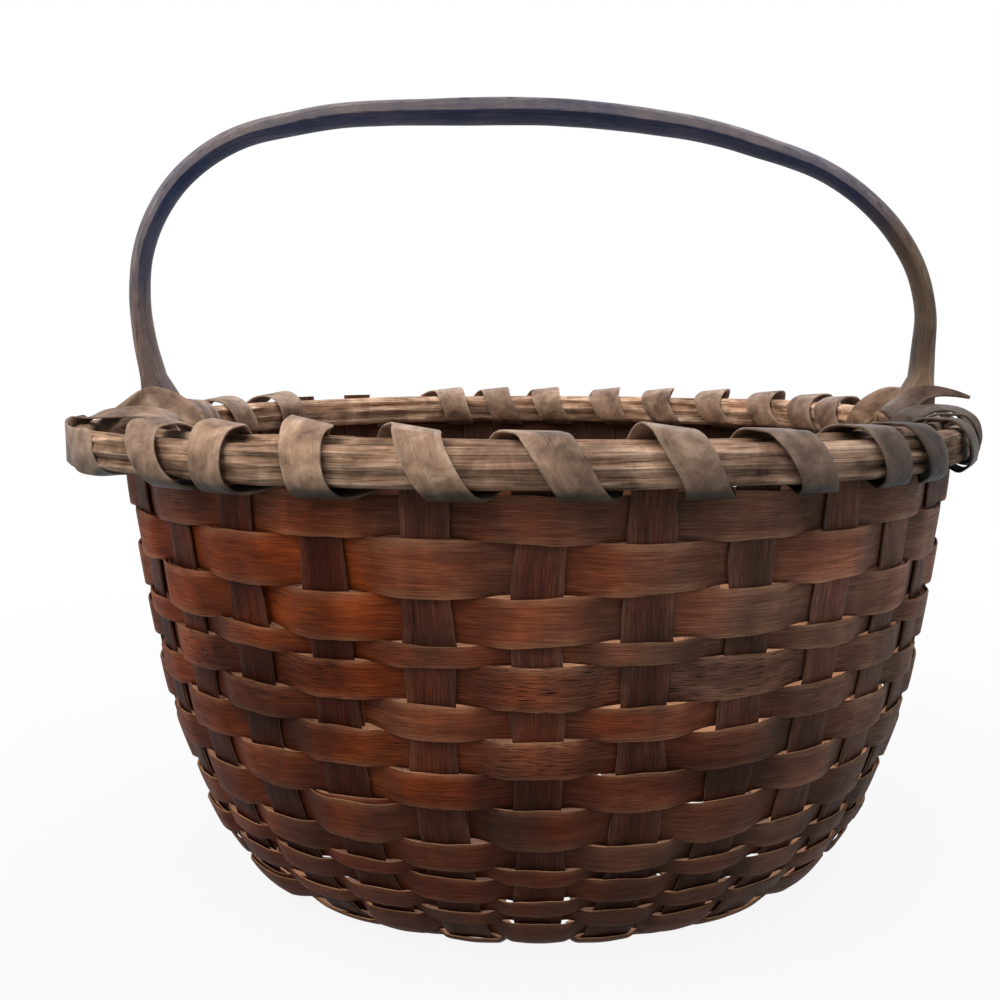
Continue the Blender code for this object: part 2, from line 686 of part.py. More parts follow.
def foot_sections(side):
    """Return the outlines of one foot, from the tail's tip up to the leg above the shoulder."""
    inward = np.array([-side, 0.0, 0.0])
    inset = WEAVER_OFFSET + WEAVER_THICKNESS / 2 + 2 * PASS_CLEARANCE
    outer_at_rim = RIM_RADIUS + HANDLE_OUTER_AT_RIM
    notch = RIM_RADIUS - HANDLE_NOTCH_INSET
    tip = HOOP_BOTTOM - HANDLE_TAIL_DEPTH
    sections = []
    for share in (0.0, 0.35, 0.7, 1.0):
        height = tip + (HANDLE_TAIL_DEPTH - HANDLE_TAIL_NECK) * share
        outer = WALL.at(WALL.from_height(height))[0] - inset
        thickness = HANDLE_TAIL_TIP + (HANDLE_TAIL_THICKNESS - HANDLE_TAIL_TIP) * smoothstep(share * 1.6)
        width = HANDLE_LEG_WIDTH * (0.65 + 0.35 * smoothstep(share * 1.8))
        place = np.array([side * outer, 0.0, height])
        sections.append(handle_section(place, inward, width, thickness, thickness))
    low_outer = WALL.at(WALL.from_height(HOOP_BOTTOM))[0] - inset
    for height, outer, inner in (
        (HOOP_BOTTOM - 2 * PASS_CLEARANCE, low_outer, notch - HANDLE_TAIL_NECK),
        (HOOP_BOTTOM - PASS_CLEARANCE, low_outer + PASS_CLEARANCE, notch),
        (RIM_HEIGHT + PASS_CLEARANCE, outer_at_rim, notch),
        (RIM_HEIGHT + HANDLE_EASE, outer_at_rim, notch - HANDLE_SHOULDER),
        (RIM_HEIGHT + HANDLE_SHOULDER_HEIGHT, outer_at_rim, notch - HANDLE_SHOULDER + HANDLE_EASE),
    ):
        place = np.array([side * outer, 0.0, height])
        sections.append(handle_section(place, inward, HANDLE_LEG_WIDTH, outer - inner, outer - inner))
    return sections


def make_handle(material):
    """Bend the handle: a tail and a notched foot at each end, and an arch between them."""
    half_span = RIM_RADIUS + HANDLE_OUTER_AT_RIM
    points = [(x * half_span, RIM_HEIGHT + z * HANDLE_RISE) for x, z in HANDLE_ARCH_SHARES]
    line = smooth_curve(points, (0.0, 1.0), (0.0, -1.0), 3)
    along = unit(np.gradient(line, axis=0))
    inwards = np.stack([along[:, 1], -along[:, 0]], axis=1)
    lengths = np.concatenate([[0.0], np.cumsum(np.linalg.norm(np.diff(line, axis=0), axis=1))])
    sections = foot_sections(-1)
    for point, inward, length in zip(line, inwards, lengths):
        if point[1] < RIM_HEIGHT + HANDLE_LEG_START:
            continue
        share = min(length, lengths[-1] - length) / lengths[-1]
        swell = smoothstep((share - HANDLE_WIDENING[0]) / (HANDLE_WIDENING[1] - HANDLE_WIDENING[0]))
        foot = 1 - smoothstep(share / HANDLE_FOOT_END)
        width = HANDLE_LEG_WIDTH + (HANDLE_TOP_WIDTH - HANDLE_LEG_WIDTH) * swell
        crown = HANDLE_LEG_THICKNESS + (HANDLE_TOP_THICKNESS - HANDLE_LEG_THICKNESS) * swell
        crown += (HANDLE_FOOT_THICKNESS - HANDLE_LEG_THICKNESS) * foot
        edge = HANDLE_EDGE_THICKNESS + (crown - HANDLE_EDGE_THICKNESS) * foot
        rounding = HANDLE_LEG_ROUNDING + (HANDLE_TOP_ROUNDING - HANDLE_LEG_ROUNDING) * swell
        flat = HANDLE_LEG_FLAT + (HANDLE_TOP_FLAT - HANDLE_LEG_FLAT) * swell
        place = np.array([point[0], 0.0, point[1]])
        depth = np.array([inward[0], 0.0, inward[1]])
        sections.append(handle_section(place, depth, width, edge, crown, rounding, flat))
    sections += reversed(foot_sections(1))
    loft("handle", np.array(sections), material, smooth=True)


def build():
    """Make every piece of the basket."""
    clear_scene()
    stake_wood = wood("dark ash stake", (0.105, 0.060, 0.042), 0.60)
    weaver_wood = wood("ash weaver", (0.165, 0.070, 0.040), 0.55)
    hoop_wood = wood("riven hoop wood", (0.330, 0.230, 0.160), 0.75)
    lash_wood = wood("lashing splint", (0.300, 0.215, 0.165), 0.65)
    handle_wood = wood("bent handle wood", (0.260, 0.200, 0.150), 0.60)
    uprights = make_splints(stake_wood)
    for row in range(len(ROW_WIDTHS)):
        make_weaver(row, uprights, weaver_wood)
    top = RIM_HEIGHT - OUTER_HOOP_DROP
    make_hoop("outer_hoop", outer_hoop_inside, OUTER_HOOP_THICKNESS, top, OUTER_SCARF_START, hoop_wood)
    top = RIM_HEIGHT
    make_hoop("inner_hoop", inner_hoop_outside, -INNER_HOOP_THICKNESS, top, INNER_SCARF_START, hoop_wood)
    make_lashings(lash_wood)
    make_handle(handle_wood)


build()
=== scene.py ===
"""Looks of a gathering basket of riven ash splint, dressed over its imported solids.

Units are metres, +Z is up and the front of the basket is its -Y side. Pieces are worked out round
the body's middle and then shifted with it. A place around the rim is an angle in degrees from the
front, growing towards +X, so the handle's feet are at 90 and 270. Every splint, hoop and stave is
a surface worked out on a grid: a profile carried along a path.
"""

import logging
import math
from dataclasses import dataclass, field
from enum import Enum

import bpy
import numpy as np
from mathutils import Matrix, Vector


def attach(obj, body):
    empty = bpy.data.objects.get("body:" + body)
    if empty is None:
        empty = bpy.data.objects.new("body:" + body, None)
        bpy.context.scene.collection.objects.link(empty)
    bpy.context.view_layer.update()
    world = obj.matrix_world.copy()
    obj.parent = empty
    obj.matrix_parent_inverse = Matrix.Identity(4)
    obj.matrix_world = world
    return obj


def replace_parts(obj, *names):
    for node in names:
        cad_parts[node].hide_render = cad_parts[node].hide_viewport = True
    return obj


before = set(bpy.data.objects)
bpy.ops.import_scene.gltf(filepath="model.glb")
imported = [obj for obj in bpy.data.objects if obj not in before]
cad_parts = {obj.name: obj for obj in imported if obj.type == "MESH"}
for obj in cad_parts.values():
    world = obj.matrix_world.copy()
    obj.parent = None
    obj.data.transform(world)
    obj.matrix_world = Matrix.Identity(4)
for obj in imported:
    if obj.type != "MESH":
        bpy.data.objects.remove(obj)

LOG = logging.getLogger("gathering_basket")
BODY = "root"
MM = 0.001
UP = np.array([0.0, 0.0, 1.0])
BODY_SHIFT = np.array([3.5 * MM, 0.0, 0.0])

Array = np.ndarray
Tree = bpy.types.NodeTree
Socket = bpy.types.NodeSocket
Source = bpy.types.NodeSocket | bpy.types.Node
Material = bpy.types.Material
Pair = tuple[float, float]
Place = tuple[float, float, float]
Route = list[Place]
Row = tuple[float, ...]
Table = tuple[Row, ...]
Codes = tuple[str, str, str]


# Helpers


def unit(vectors: Array) -> Array:
    """Scale each vector of an array to a length of one."""
    return vectors / np.maximum(np.linalg.norm(vectors, axis=-1, keepdims=True), 1e-12)


def ease(value: Array) -> Array:
    """Ease from 0 to 1 as the value goes from 0 to 1: 3x squared less 2x cubed, flat outside."""
    share = np.clip(value, 0.0, 1.0)
    return share * share * (3 - 2 * share)


def run_lengths(points: Array) -> Array:
    """Return the length run along a line of points at each of them."""
    steps = np.linalg.norm(np.diff(points, axis=0), axis=1)
    return np.concatenate([[0.0], np.cumsum(steps)])


def around(radius: Array, degrees: Array, height: Array) -> Array:
    """Return points at a radius, an angle round the rim and a height: (r sin a, -r cos a, z)."""
    turn = np.radians(degrees)
    return np.stack(np.broadcast_arrays(radius * np.sin(turn), -radius * np.cos(turn), height), axis=-1)


def hermite(points: Array, stations: Array, wanted: Array) -> Array:
    """Read a smooth line through points at any stations along it.

    Each stretch is a cubic whose end slopes are the neighbours' slopes, weighted by the stretch
    on the other side, so that the line has no kink.

    Args:
        points: One row for each point of the line.
        stations: The growing station of each point.
        wanted: The stations to read.

    Returns:
        One row for each wanted station.
    """
    gaps = np.diff(stations)[:, None]
    slopes = np.diff(points, axis=0) / gaps
    tangents = np.empty_like(points)
    tangents[1:-1] = (slopes[:-1] * gaps[1:] + slopes[1:] * gaps[:-1]) / (gaps[:-1] + gaps[1:])
    tangents[0], tangents[-1] = slopes[0], slopes[-1]
    index = np.clip(np.searchsorted(stations, wanted, side="right") - 1, 0, len(stations) - 2)
    gap = gaps[index]
    share = ((wanted - stations[index]) / gap[:, 0])[:, None]
    return (
        points[index] * (2 * share**3 - 3 * share**2 + 1)
        + points[index + 1] * (3 * share**2 - 2 * share**3)
        + tangents[index] * gap * (share**3 - 2 * share**2 + share)
        + tangents[index + 1] * gap * (share**3 - share**2)
    )


@dataclass(frozen=True)
class Fade:
    """A change that eases in from a start over a reach; a reach below 0 eases it in downwards."""

    start: float
    reach: float

    def at(self, value: Array) -> Array:
        """Return 0 up to the start, 1 beyond the reach, and the ease between them."""
        return ease((value - self.start) / self.reach)


@dataclass(frozen=True)
class Ripple:
    """Repeatable waviness: a sum of sines of unlike lengths and random phases."""

    seed: int
    longest: float
    size: float
    octaves: int = 4
    shorter: float = 0.57
    smaller: float = 0.62

    def at(self, along: Array, piece: int = 0) -> Array:
        """Return the waves' sum at each place: each sine is shorter and smaller than the last.

        Args:
            along: The places, in the unit of the longest wave.
            piece: A number added to the seed, so that each piece has waves of its own.

        Returns:
            The departure at each place.
        """
        rng = np.random.default_rng(self.seed + piece)
        total = np.zeros(np.shape(along))
        length, size = self.longest, self.size
        for _ in range(self.octaves):
            phase = rng.uniform(0, 2 * math.pi)
            total = total + size * np.sin(2 * math.pi * np.asarray(along) / length + phase)
            length *= self.shorter * rng.uniform(0.9, 1.1)
            size *= self.smaller
        return total


# Skins


class Slot(Enum):
    """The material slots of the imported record."""

    STAKE = "stake_splint"
    WEAVER = "weaver_splint"
    HOOP = "hoop_wood"
    LASHING = "lashing_splint"
    HANDLE = "handle_wood"


@dataclass
class Skin:
    """A closed skin over a grid: rings of outline points, one ring for each station.

    grain holds the place along and across the wood of each point, in metres. Each trait is a value
    at each point that the finish reads: warmth, shade and wear.
    """

    name: str
    rings: Array
    grain: Array
    traits: dict[str, Array] = field(default_factory=dict)
    sharp: float = 38.0
    warp: bool = True

    def faces(self) -> list[tuple[int, ...]]:
        """Join each ring to the next by four-sided faces and close both ends.

        Returns:
            The point numbers of each face.
        """
        stations, corners, _ = self.rings.shape
        index = np.arange(stations * corners).reshape(stations, corners)
        beside = np.roll(index, -1, axis=1)
        quads = np.stack([index[:-1], beside[:-1], beside[1:], index[1:]], axis=-1).reshape(-1, 4)
        ends = [tuple(index[0][::-1].tolist()), tuple(index[-1].tolist())]
        if self.turned_in():
            quads = quads[:, ::-1]
            ends = [end[::-1] for end in ends]
        return quads.tolist() + ends

    def turned_in(self) -> bool:
        """Tell whether the faces point inwards: the skin's signed volume is then negative.

        Returns:
            True if they point inwards.
        """
        here, beside = self.rings[:-1], np.roll(self.rings, -1, axis=1)[:-1]
        ahead, corner = self.rings[1:], np.roll(self.rings, -1, axis=1)[1:]
        halves = np.sum(np.cross(here, beside) * corner) + np.sum(np.cross(here, corner) * ahead)
        return bool(halves < 0)

    def build(self, slot: Slot, material: Material) -> bpy.types.Object:
        """Make the mesh object with its grain map and traits.

        Args:
            slot: The record's slot that the piece takes its finish from; not used here.
            material: The material to wear.

        Returns:
            The new object, riding on the basket's body.
        """
        points = BODY_SHIFT + (RIM.warped(self.rings) if self.warp else self.rings)
        mesh = bpy.data.meshes.new(self.name)
        mesh.from_pydata(points.reshape(-1, 3).tolist(), [], self.faces())
        mesh.materials.append(material)
        corners = np.empty(len(mesh.loops), dtype=np.int32)
        mesh.loops.foreach_get("vertex_index", corners)
        layer = mesh.uv_layers.new(name="Grain")
        layer.data.foreach_set("uv", self.grain.reshape(-1, 2)[corners].astype(np.float32).ravel())
        for name, values in self.traits.items():
            trait = mesh.attributes.new(name, "FLOAT", "POINT")
            full = np.broadcast_to(values, self.rings.shape[:2])
            trait.data.foreach_set("value", full.astype(np.float32).ravel())
        mesh.shade_smooth()
        mesh.set_sharp_from_angle(angle=math.radians(self.sharp))
        mesh.update()
        item = bpy.data.objects.new(self.name, mesh)
        bpy.context.scene.collection.objects.link(item)
        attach(item, BODY)
        LOG.info("%s: %d faces", self.name, len(mesh.polygons))
        return item


@dataclass(frozen=True)
class SplintProfile:
    """Outline across a thin splint: two broad faces with their edges eased over.

    Each point is a share of the half width from -1 to 1, and a share of the half thickness.
    """

    inner_columns: int = 7
    edge_share: float = 0.45

    def outline(self, width: float, thickness: float) -> tuple[Array, Array]:
        """Return the shares across and through the splint, once round it.

        Args:
            width: Width of the splint.
            thickness: Thickness of the splint.

        Returns:
            Each outline point's share of the half width, and of the half thickness.
        """
        eased = 1 - self.edge_share * thickness / width * 2
        across = np.linspace(-eased, eased, self.inner_columns)
        lower = np.concatenate([[-1.0], across, [1.0]])
        low_depth = np.concatenate([[-self.edge_share], np.full(len(across), -1.0), [-self.edge_share]])
        return np.concatenate([lower, lower[::-1]]), np.concatenate([low_depth, -low_depth[::-1]])


SPLINT = SplintProfile()


@dataclass(frozen=True)
class Grain:
    """How pieces are cut from the grain's pattern: each starts anywhere on a wide board."""

    first_seed: int = 1000
    board: float = 5.0
    other_face: float = 0.05

    def lay(self, rng: np.random.Generator, along: Array, across: Array) -> Array:
        """Pair the places along and across the grain, counted from a random start.

        Args:
            rng: The piece's random numbers.
            along: The places along the piece.
            across: The places across it.

        Returns:
            Both places of each point, as the grain map holds them.
        """
        along = along + rng.uniform(0, self.board)
        across = across + rng.uniform(0, self.board)
        return np.stack(np.broadcast_arrays(along, across), axis=-1)


GRAIN = Grain()


@dataclass
class Ribbon:
    """A splint carried along a line, flat or cupped across.

    A point is centre + across (half width times its share) + normal (half thickness times its
    share, less the cup times the share across squared).
    """

    centre: Array
    across: Array
    normal: Array
    half_width: Array
    thickness: float
    cup: float | Array = 0.0
    grain_seed: int = 0

    def outline(self) -> tuple[Array, Array]:
        """Return each outline point's share of the half width and of the half thickness."""
        return SPLINT.outline(float(np.mean(self.half_width)) * 2, self.thickness)

    def rings(self) -> Array:
        """Work out the outline at every station.

        Returns:
            The points, one ring for each station.
        """
        shares, depths = self.outline()
        half = np.broadcast_to(self.half_width, (len(self.centre),))[:, None, None]
        cup = np.broadcast_to(self.cup, (len(self.centre),))[:, None, None]
        rise = depths[None, :, None] * self.thickness / 2 - cup * (shares**2)[None, :, None]
        return (
            self.centre[:, None, :]
            + self.across[:, None, :] * half * shares[None, :, None]
            + self.normal[:, None, :] * rise
        )

    def grain(self) -> Array:
        """Lay the grain along the splint; each splint and each face is cut from other wood.

        Returns:
            The place along and across the grain of each point.
        """
        shares, depths = self.outline()
        half = np.broadcast_to(self.half_width, (len(self.centre),))[:, None]
        across = half * shares[None, :] + (depths[None, :] < 0) * GRAIN.other_face
        rng = np.random.default_rng(GRAIN.first_seed + self.grain_seed)
        return GRAIN.lay(rng, run_lengths(self.centre)[:, None], across)


# Wall and weave


@dataclass(frozen=True)
class Wall:
    """Middle surface of the body, read by the length along it from the base's middle.

    Its line runs level out to the flat base's edge, and then by a smooth curve through the line's
    shares of the way out and of the way up to the rim.
    """

    base_radius: float = 0.0938
    base_middle: float = 0.00145
    rim_radius: float = 0.1725
    hoop_bottom: float = 0.1750
    rim_height: float = 0.1900
    shares: tuple[Pair, ...] = (
        (0.000, 0.0000), (0.178, 0.0070), (0.337, 0.0198), (0.452, 0.0486), (0.567, 0.1200),
        (0.718, 0.2756), (0.840, 0.4590), (0.884, 0.5786), (0.952, 0.7935), (1.000, 1.0000),
    )
    lead: float = 0.002
    over_rim: float = 0.010
    steps: int = 240
    slope_step: float = 1.5 * MM

    def table(self) -> tuple[Array, Array]:
        """Draw the line from the base's middle to over the rim, with short straight leads.

        Returns:
            The lengths along the wall, and the line's points as radius and height.
        """
        start = np.array([self.base_radius, self.base_middle])
        knots = start + np.array(self.shares) * (np.array([self.rim_radius, self.hoop_bottom]) - start)
        ends = start - [self.lead, 0.0], [self.rim_radius, self.hoop_bottom + self.lead]
        knots = np.vstack([ends[0], knots, ends[1]])
        stations = run_lengths(knots)
        curve = hermite(knots, stations, np.linspace(stations[0], stations[-1], self.steps))
        line = np.vstack([[0.0, self.base_middle], curve, [self.rim_radius, self.rim_height + self.over_rim]])
        return run_lengths(line), line


WALL = Wall()
WALL_LENGTHS, WALL_LINE = WALL.table()


def wall_at(length: Array) -> tuple[Array, Array]:
    """Return the wall's radius and height at lengths along it."""
    radius = np.interp(length, WALL_LENGTHS, WALL_LINE[:, 0])
    return radius, np.interp(length, WALL_LENGTHS, WALL_LINE[:, 1])


def wall_slope(length: Array) -> tuple[Array, Array]:
    """Work out the outward normal from the wall's slope a short step to either side.

    Args:
        length: The lengths along the wall.

    Returns:
        The normal's radial and upward parts.
    """
    ahead, behind = wall_at(length + WALL.slope_step), wall_at(length - WALL.slope_step)
    out, rise = ahead[0] - behind[0], ahead[1] - behind[1]
    size = np.hypot(out, rise)
    return rise / size, -out / size


def length_at_radius(radius: Array) -> Array:
    """Return the length along the wall at which it reaches a radius."""
    return np.interp(radius, WALL_LINE[:, 0], WALL_LENGTHS)


def length_at_height(height: Array) -> Array:
    """Return the length along the wall at which it reaches a height."""
    return np.interp(height, WALL_LINE[1:, 1], WALL_LENGTHS[1:])


@dataclass(frozen=True)
class Weave:
    """Sizes of the plaited base and of the rows that close the wall."""

    front_splints: int = 7
    side_splints: int = 8
    pitch: float = 20.5 * MM
    stake_width: float = 16.5 * MM
    stake_thickness: float = 1.2 * MM
    weaver_thickness: float = 1.0 * MM
    base_weave: float = 0.85 * MM
    base_ease: float = 5.0 * MM
    heel_ease: float = 1.2
    crossing_margin: float = 0.2 * MM
    pass_margin: float = 0.3 * MM
    fan_start: float = 0.104
    fan_reach: float = 0.046
    weaver_offset: float = 1.4 * MM
    lap_offset: float = 1.3 * MM
    last_row_radius: float = 0.1078
    square_pull: float = 2.2 * MM
    square_power: float = 1.5
    lash_passage: float = 3.7 * MM
    row_widths: Row = (
        13.2, 17.4, 15.8, 7.7, 13.7, 11.2, 13.6, 13.4, 15.2, 10.2, 5.5, 8.7, 6.7, 5.9, 11.5, 12.0, 11.0,
    )
    lap_starts: tuple[int, ...] = (11, 18, 25, 4, 13, 26, 17, 10, 27, 16, 9, 24, 5, 20, 25, 12, 3)
    dryness: Row = (
        0.25, 0.15, 0.15, 0.35, 0.85, 0.35, 0.65, 0.35, 0.3, 0.25, 0.25, 0.3, 0.3, 0.3, 0.3, 0.3, 0.3,
    )
    end_rise: float = -2.5 * MM
    tall_ends: tuple[tuple[int, float], ...] = ((216, 1.3 * MM), (228, 1.2 * MM))

    @property
    def ends(self) -> int:
        """Number of uprights around the wall."""
        return 2 * (self.front_splints + self.side_splints)

    @property
    def step(self) -> float:
        """Angle between neighbouring uprights at the rim, in degrees."""
        return 360.0 / self.ends

    def row_edges(self) -> Array:
        """Return the lengths along the wall that bound the rows, from the rim down.

        Returns:
            One length for each border, from the top of row 0 to the bottom of the last.
        """
        top = length_at_height(WALL.hoop_bottom - self.lash_passage)
        bottom = length_at_radius(self.last_row_radius)
        shares = np.concatenate([[0.0], np.cumsum(self.row_widths)]) / sum(self.row_widths)
        return top + (bottom - top) * shares


WEAVE = Weave()
ROW_EDGES = WEAVE.row_edges()


@dataclass(frozen=True)
class Spot:
    """A patch of other colour on the wall: its place and size in degrees and millimetres up."""

    angle: float
    height: float
    width: float
    tall: float
    warmth: float
    shade: float


@dataclass(frozen=True)
class Patina:
    """Colour of the old wood by place: warmer at the front left and darker at the right.

    warmth goes from 0, grey-brown, to 1, red-brown. shade multiplies the colour and holds painted
    shade low down and just under the rim. Fades are over metres to the back or up.
    """

    spots: tuple[Spot, ...] = (
        Spot(-46, 165, 14, 7, 0.10, -0.15), Spot(-44, 136, 8, 9, 0.30, 0.10),
        Spot(-42, 98, 14, 26, 0.15, -0.32), Spot(-38, 165, 5, 9, 0.20, 0.15),
        Spot(-34, 154, 9, 9, 0.35, 0.20), Spot(-30, 88, 9, 8, 0.40, -0.30),
        Spot(-27, 112, 10, 7, 0.45, -0.35), Spot(-24, 140, 3, 26, 0.35, -0.48),
        Spot(-22, 138, 9, 8, 0.25, 0.05), Spot(-12, 46, 9, 6, 0.10, -0.25),
        Spot(0, 66, 40, 9, 0.10, -0.15), Spot(1, 60, 4, 4, 0.30, -0.25),
        Spot(3, 78, 8, 6, 0.20, -0.10), Spot(4, 118, 14, 4, -0.10, 0.12),
        Spot(8, 165, 16, 8, 0.00, 0.22), Spot(10, 98, 5, 5, 0.45, 0.30),
        Spot(14, 79, 9, 6, 0.15, -0.18), Spot(14, 122, 20, 8, -0.10, 0.12),
        Spot(22, 72, 8, 7, 0.15, -0.20), Spot(25, 134, 9, 8, -0.15, 0.18),
        Spot(26, 84, 11, 13, 0.20, -0.36), Spot(28, 141, 16, 10, -0.05, 0.22),
        Spot(45, 150, 9, 12, -0.10, 0.12),
    )
    middle_warmth: float = 0.54
    warmth_span: float = 0.25
    to_front: Fade = Fade(0.10, -0.20)
    back_warmth: float = 0.30
    near_rim: Fade = Fade(0.150, 0.016)
    rim_cooling: float = 0.35
    # Painted shade: the wall is darker low down and just under the rim.
    high_shade: float = 1.20
    to_base: Fade = Fade(0.150, -0.150)
    base_painted_shade: float = 0.74
    under_rim: Fade = Fade(0.152, 0.014)
    under_rim_painted_shade: float = 0.16
    # Inner faces: paler wood, with painted light that lifts their shade towards the base.
    to_pale_and_lit_inside: Fade = Fade(0.128, -0.05)
    inside_painted_light: float = 2.3
    inside_paling: float = 1.8
    inside_cooling: float = 0.6

    def spread(self, points: Array, trait: str) -> Array:
        """Sum the spots' values of a trait: each fades as exp of minus its distance squared.

        Args:
            points: The points to colour.
            trait: The spots' field to sum, warmth or shade.

        Returns:
            The sum at each point.
        """
        angle = np.degrees(np.arctan2(points[..., 0], -points[..., 1]))
        height = points[..., 2] / MM
        total = np.zeros(points.shape[:-1])
        for spot in self.spots:
            away = ((angle - spot.angle) / spot.width) ** 2 + ((height - spot.height) / spot.tall) ** 2
            total = total + getattr(spot, trait) * np.exp(-away)
        return total

    def warmth(self, points: Array) -> Array:
        """Work out the warmth: it falls from -X to +X and fades inside and at the back.

        Args:
            points: The points to colour.

        Returns:
            The warmth at each point, from 0 to 1.
        """
        sideways = self.middle_warmth - points[..., 0] / self.warmth_span
        front = self.back_warmth + (1 - self.back_warmth) * self.to_front.at(points[..., 1])
        height = 1 - self.rim_cooling * self.near_rim.at(points[..., 2])
        return np.clip(front * sideways * height + self.spread(points, "warmth"), 0.0, 1.0)

    def shade(self, points: Array) -> Array:
        """Work out the painted shade: darker low on the wall and just under the rim.

        Args:
            points: The points to colour.

        Returns:
            The shade at each point.
        """
        low = self.high_shade - self.base_painted_shade * self.to_base.at(points[..., 2])
        under_rim = 1 - self.under_rim_painted_shade * self.under_rim.at(points[..., 2])
        return low * under_rim * (1 + self.spread(points, "shade"))

    def inside(self, points: Array, depths: Array) -> Array:
        """Return the share of paler wood and painted light: only on inner faces, growing towards the base."""
        return (depths < 0)[None, :] * self.to_pale_and_lit_inside.at(points[..., 2])


PATINA = Patina()


class Family(Enum):
    """The two directions in which stake splints run, by the names of their nodes."""

    FRONT = "front_stake"
    SIDE = "side_stake"

    def __str__(self) -> str:
        """Return the name that its splints' nodes begin with."""
        return self.value


@dataclass
class StakeSplint:
    """One stake splint: up one wall, across the plaited base and up the other."""

    family: Family
    index: int
    ahead: Array
    aside: Array
    count: int
    crossed: int
    step: float = 1.5 * MM
    side_seed: int = 40
    tone_seed: int = 70
    sway: Ripple = Ripple(0, 0.12, 0.50 * MM)
    uneven: Ripple = Ripple(500, 0.07, 0.40 * MM)
    tone_waves: Ripple = Ripple(600, 0.10, 0.06)
    up_wall: Fade = Fade(8 * MM, 15 * MM)
    onto_base: Fade = Fade(0.0, 4 * MM)
    least_girth: float = 0.1
    tone: float = 0.84
    tone_spread: float = 0.10
    warmth_spread: float = 0.12
    dry: float = 0.35
    dry_spread: float = 0.25
    seen_depth: float = 0.03
    to_side: Fade = Fade(0.03, 0.05)
    left_darkening: float = 0.27
    right_lightening: float = 0.18
    cut_end: Fade = Fade(0.1868, 0.0015)
    cut_shade: float = 1.2
    worn_edge: float = 0.7
    edge_power: int = 6

    @property
    def place(self) -> float:
        """Steps from the middle splint of its family."""
        return self.index - (self.count - 1) / 2

    def parity(self, sign: int) -> int:
        """Return 0 where the first crossing outwards lies below, for a plain over-and-under base.

        Args:
            sign: 1 for the half that runs ahead, -1 for the other.

        Returns:
            0 if the first crossing lies below, else 1.
        """
        first = self.crossed / 2 if self.crossed % 2 == 0 else (self.crossed - 1) / 2
        if self.family is Family.FRONT:
            return int(self.index + (first if sign == -1 else first - 1)) % 2
        return int(self.index + first + 1) % 2

    def crossings(self) -> Array:
        """Return the places of the splints that it crosses, from its middle outwards."""
        places = (np.arange(self.crossed) - (self.crossed - 1) / 2) * WEAVE.pitch
        return places[places > -WEAVE.pitch / 4]

    def end_rise(self, sign: int) -> float:
        """Return how far its end stands over the hoops; a few stand proud and most are cut low."""
        angle = round(self.angle_at(float(WALL_LENGTHS[-1]), sign) / WEAVE.step) * WEAVE.step % 360
        return dict(WEAVE.tall_ends).get(int(angle), WEAVE.end_rise)

    def lengths(self, sign: int) -> tuple[Array, Array]:
        """Space the stations of one half evenly over the base and up the wall.

        Args:
            sign: 1 for the half that runs ahead, -1 for the other.

        Returns:
            The lengths along the wall, and the places along the base, infinite on the wall.
        """
        offset = abs(self.place * WEAVE.pitch)
        edge = self.crossings()[-1] + WEAVE.stake_width / 2 + WEAVE.base_ease
        base = np.arange(self.step / 2, edge, self.step)
        base_lengths = np.hypot(base, offset)
        top = WALL_LENGTHS[-1] - (WALL_LINE[-1, 1] - WALL.rim_height) + self.end_rise(sign)
        wall = np.arange(base_lengths[-1] + self.step, top, self.step)
        lengths = np.concatenate([base_lengths, wall, [top]])
        return lengths, np.concatenate([base, np.full(len(wall) + 1, np.inf)])

    def plan(self, lengths: Array, sign: int) -> Array:
        """Work out its middle line: straight on the base, fanning out to its own angle above.

        Args:
            lengths: The lengths along the wall.
            sign: 1 for the half that runs ahead, -1 for the other.

        Returns:
            One point for each length.
        """
        radius, height = wall_at(lengths)
        offset = self.place * WEAVE.pitch
        straight = np.arcsin(np.clip(offset / np.maximum(radius, 1e-6), -1, 1))
        fan = ease((radius - WEAVE.fan_start) / WEAVE.fan_reach)
        turn = straight * (1 - fan) + math.radians(WEAVE.step * self.place) * fan
        ahead = (radius * np.cos(turn))[:, None] * self.ahead * sign
        flat = ahead + (radius * np.sin(turn))[:, None] * self.aside
        flat[:, 2] = height
        return flat

    def weave_shift(self, base: Array, sign: int) -> Array:
        """Work out how it weaves through the base: level on a crossing, eased between two.

        Args:
            base: The places along the base.
            sign: 1 for the half that runs ahead, -1 for the other.

        Returns:
            How far each place lies above or below the base's middle.
        """
        level = WEAVE.stake_width / 2 + WEAVE.crossing_margin
        shift = np.zeros(len(base))
        inner = np.clip(base, 0, 1.0)
        before = None
        for count, crossing in enumerate(self.crossings()):
            side = 1.0 if (count + self.parity(sign)) % 2 == 0 else -1.0
            if before is not None:
                share = ease((inner - (before + level)) / (crossing - before - 2 * level))
                shift = np.where(inner > before + level, -side + 2 * side * share, shift)
            shift = np.where(np.abs(inner - crossing) <= level, side, shift)
            before, last_side = crossing, side
            if count == 0 and crossing > level:
                shift = np.where(inner < crossing - level, side * ease(inner / (crossing - level)), shift)
        share = ease((inner - (before + level)) / (WEAVE.base_ease * WEAVE.heel_ease))
        shift = np.where(inner > before + level, last_side * (1 - share), shift)
        return shift * WEAVE.base_weave

